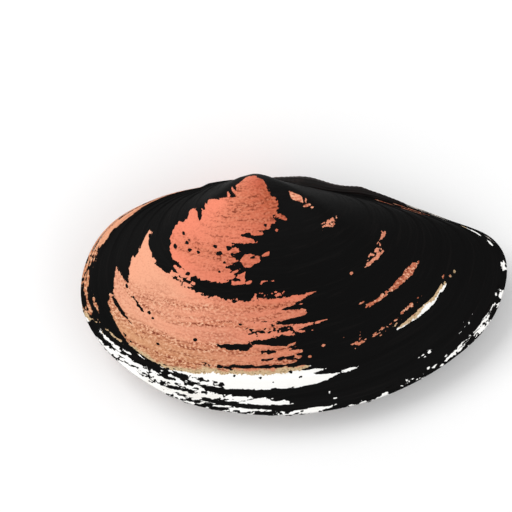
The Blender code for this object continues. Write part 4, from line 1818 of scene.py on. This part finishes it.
@dataclass
class SkinAndShadeFlakes:
    """Small lifted flakes where the black skin peels, most of them along the worn rim; their black carries
    the painted shade to its ragged edges.
    """

    valve: Valve
    count: int = 620
    steps_along: int = 6
    steps_across: int = 3
    tries: int = 40  # places drawn for each flake that is kept
    rim_share: float = 0.5
    rim_from: float = 0.9  # the growth size from which a place is by the rim
    bare_back_from: float = 38.0  # the bearing from which flakes stay on the rim
    longest: float = 2.2 * MM
    shortest: float = 0.5 * MM
    widths: tuple[float, float] = (0.16, 0.34)  # least and greatest, as shares of the length
    rest_height: float = 0.10 * MM  # over the smooth face, with a share of a halt's step more
    halt_share: float = 0.4
    lift: float = 0.2 * MM
    thickness: float = 0.05 * MM

    def spots(self) -> tuple[np.ndarray, np.ndarray]:
        """Draws places at which the black skin and painted shade are about to end, but for the back's narrow
        bare strips.

        Returns:
            Shares of the way round and growth sizes.
        """
        rng = np.random.default_rng(self.valve.seed + SeedStep.FLAKE_SPOTS)
        way = rng.uniform(0.03, 0.97, self.tries * self.count)
        by_rim = rng.random(way.size) < self.rim_share
        rim_size = rng.uniform(self.rim_from, 1.002, way.size)
        size = np.where(by_rim, rim_size, rng.uniform(0.3, 1.0, way.size))
        bearing = self.valve.form.bearing_of(self.valve.form.edge_at(way))
        cover = self.valve.pattern.cover(way, bearing, size, self.valve.seed)
        allowed = (bearing < self.bare_back_from) | (size > self.rim_from)
        kept = np.flatnonzero((cover > -0.5) & (cover < 0.1) & allowed)[: self.count]
        return way[kept], size[kept]

    def build(self, finish: bpy.types.Material) -> bpy.types.Object:
        """Builds the flakes as one piece.

        Each flake is a leaf along a growth line: its half width at a share t of its length is
        that of an ellipse, made ragged. It hugs the shell at its inner side and curls up at its
        outer side, and a second face closes it underneath.

        Args:
            finish: Their material.

        Returns:
            The finished piece.
        """
        form, rng = self.valve.form, np.random.default_rng(self.valve.seed + SeedStep.FLAKE_SHAPES)
        way, size = self.spots()
        count = len(way)
        length = rng.uniform(self.shortest, self.longest, count) * (0.4 + 0.6 * size)
        width = length * rng.uniform(*self.widths, count)
        t = np.linspace(-1.0, 1.0, self.steps_along)
        w = np.linspace(-1.0, 1.0, self.steps_across)
        leaf = np.sqrt(np.clip(1.0 - (0.96 * t) ** 2, 0.0, 1.0))
        ragged = leaf[None] * rng.uniform(0.55, 1.15, (count, self.steps_along))
        along = (length / (2 * form.edge_length() * size))[:, None, None] * t[None, :, None]
        across = (width / (2 * MM_PER_SIZE * MM))[:, None, None] * ragged[..., None] * w[None, None, :]
        ways = way[:, None, None] + along + np.zeros_like(across)
        sizes = np.clip(size[:, None, None] + across, 0.05, 1.015)
        curl = self.lift * rng.uniform(0.2, 1.0, count)[:, None, None] * ((w[None, None, :] + 1) / 2) ** 2
        base = self.rest_height + self.valve.relief.halt_step * self.halt_share
        top = self._over(ways, sizes, base + curl * np.ones_like(ways))
        under = self._over(ways, sizes, base - self.thickness + curl * np.ones_like(ways))
        piece = self._mesh(top, under)
        piece.data.materials.append(finish)
        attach(piece, "root")
        f"{self.valve.name}_shell"
        return piece

    def _over(self, way: np.ndarray, size: np.ndarray, height: np.ndarray) -> np.ndarray:
        """Points over the valve's smooth outer face.

        Args:
            way: Shares of the way round.
            size: Growth sizes.
            height: Heights over the face.

        Returns:
            The points in the world.
        """
        form = self.valve.form
        points = form.place(form.edge_at(way), size) + form.outward(way, size) * height[..., None]
        points[..., 2] = np.maximum(points[..., 2], 0.0) + form.seam / 2
        points[..., 2] *= self.valve.side.value
        return POSE.to_world(points, form)

    def _mesh(self, top: np.ndarray, under: np.ndarray) -> bpy.types.Object:
        """Joins both faces of every flake with a rim.

        Args:
            top: The upper faces' points, flakes by steps along by steps across by 3.
            under: The lower faces' points.

        Returns:
            The object.
        """
        count, rows, columns = top.shape[:3]
        index = np.arange(rows * columns).reshape(rows, columns)
        corners = [index[:-1, :-1], index[1:, :-1], index[1:, 1:], index[:-1, 1:]]
        upper = np.stack(corners, axis=-1).reshape(-1, 4)
        lower = upper[:, ::-1] + rows * columns
        ring = np.concatenate([index[0, :-1], index[:-1, -1], index[-1, :0:-1], index[:0:-1, 0]])
        after = np.roll(ring, -1)
        rim = np.stack([ring, after, after + rows * columns, ring + rows * columns], axis=-1)
        faces = np.concatenate([upper, lower, rim])
        if self.valve.side is Side.RIGHT:
            faces = faces[:, ::-1]
        shifts = np.arange(count)[:, None, None] * 2 * rows * columns
        loops = (faces[None] + shifts).reshape(-1)
        points = np.concatenate([top.reshape(count, -1, 3), under.reshape(count, -1, 3)], axis=1)
        sizes = np.full(len(loops) // 4, 4)
        name = f"{self.valve.side.name.lower()}_skin_flakes"
        return object_of(name, points.reshape(-1, 3), loops, sizes, np.zeros((len(loops), 2)))


@dataclass(frozen=True)
class Studio:
    """The camera, the pale floor and soft light. The camera looks square at the seam plane."""

    image_width: float = 512.0  # pixels
    metres_per_pixel: float = 90 * MM / 427
    hinge_pixel: tuple[float, float] = (255.0, 181.4)  # where the hinge axis's middle shows
    lens: float = 180.0
    sensor: float = 36.0
    sight: tuple[float, float] = (0.01, 20.0)  # the least and greatest distance seen
    floor_half: float = 2.0
    room_brightness: float = 0.78
    lamps: tuple[tuple[str, Place, float, float], ...] = (
        ("key_light", (-0.55, 0.45, 0.95), 0.7, 6.4),
        ("fill_light", (0.75, -0.55, 0.85), 0.9, 1.4),
    )  # name, place, size and power

    def camera(self) -> None:
        """Sets the camera so that the shell shows where it should in the picture."""
        data = bpy.data.cameras.new("camera")
        data.lens, data.sensor_width = self.lens, self.sensor
        data.clip_start, data.clip_end = self.sight
        camera = bpy.data.objects.new("camera", data)
        bpy.context.scene.collection.objects.link(camera)
        centre = self.image_width / 2
        x = (centre - self.hinge_pixel[0]) * self.metres_per_pixel
        y = (self.hinge_pixel[1] - centre) * self.metres_per_pixel
        distance = self.image_width * self.metres_per_pixel * self.lens / self.sensor
        place = POSE.to_world(np.array([x, y, distance]), FORM)
        turn = Matrix(POSE.turn().tolist())
        camera.matrix_world = Matrix.Translation(Vector(place)) @ turn.to_4x4()
        bpy.context.scene.camera = camera

    def floor(self, effects: Effects) -> None:
        """Lays the floor under the shell.

        Args:
            effects: The shared node groups.
        """
        half = self.floor_half
        corners = [(-half, -half, 0.0), (half, -half, 0.0), (half, half, 0.0), (-half, half, 0.0)]
        mesh = bpy.data.meshes.new("floor")
        mesh.from_pydata(corners, [], [(0, 1, 2, 3)])
        mesh.materials.append(FloorFinish().build("pale_floor", effects))
        floor = bpy.data.objects.new("floor", mesh)
        bpy.context.scene.collection.objects.link(floor)

    def light(self) -> None:
        """Hangs two large soft lights over a white surrounding."""
        world = bpy.data.worlds.new("white_room")
        bpy.context.scene.world = world
        world.use_nodes = True
        room = world.node_tree.nodes["Background"]
        room.inputs["Color"].default_value = (1.0, 1.0, 1.0, 1.0)
        room.inputs["Strength"].default_value = self.room_brightness
        for name, place, size, power in self.lamps:
            data = bpy.data.lights.new(name, "AREA")
            data.size, data.energy = size, power
            lamp = bpy.data.objects.new(name, data)
            lamp.location = place
            lamp.rotation_euler = (-Vector(place)).to_track_quat("-Z", "Y").to_euler()
            bpy.context.scene.collection.objects.link(lamp)
        bpy.context.scene.view_settings.view_transform = "Standard"


def main() -> None:
    """Builds the studio and every piece in order."""
    logging.basicConfig(level=logging.INFO, format="%(name)s: %(message)s")
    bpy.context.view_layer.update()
    studio = Studio()
    effects = Effects()
    studio.camera()
    studio.floor(effects)
    studio.light()
    outer = OuterFinish().build("shell_outside", effects)
    inner = InnerFinish().build("shell_inside", effects)
    flake_finish = FlakeFinish().build("skin_flakes", effects)
    pieces = []
    for side, seed, pattern in ((Side.LEFT, 11, LEFT_PATTERN), (Side.RIGHT, 512, RIGHT_PATTERN)):
        valve = Valve(side, seed, pattern)
        pieces.append(valve.build(outer, inner))
        pieces.append(SkinAndShadeFlakes(valve).build(flake_finish))
    pieces.append(Ligament().build(HornFinish().build("ligament_horn", effects)))
    for piece in pieces:
        log.info("%s: %d triangles", piece.name, triangle_count(piece))


if __name__ == "__main__":
    main()
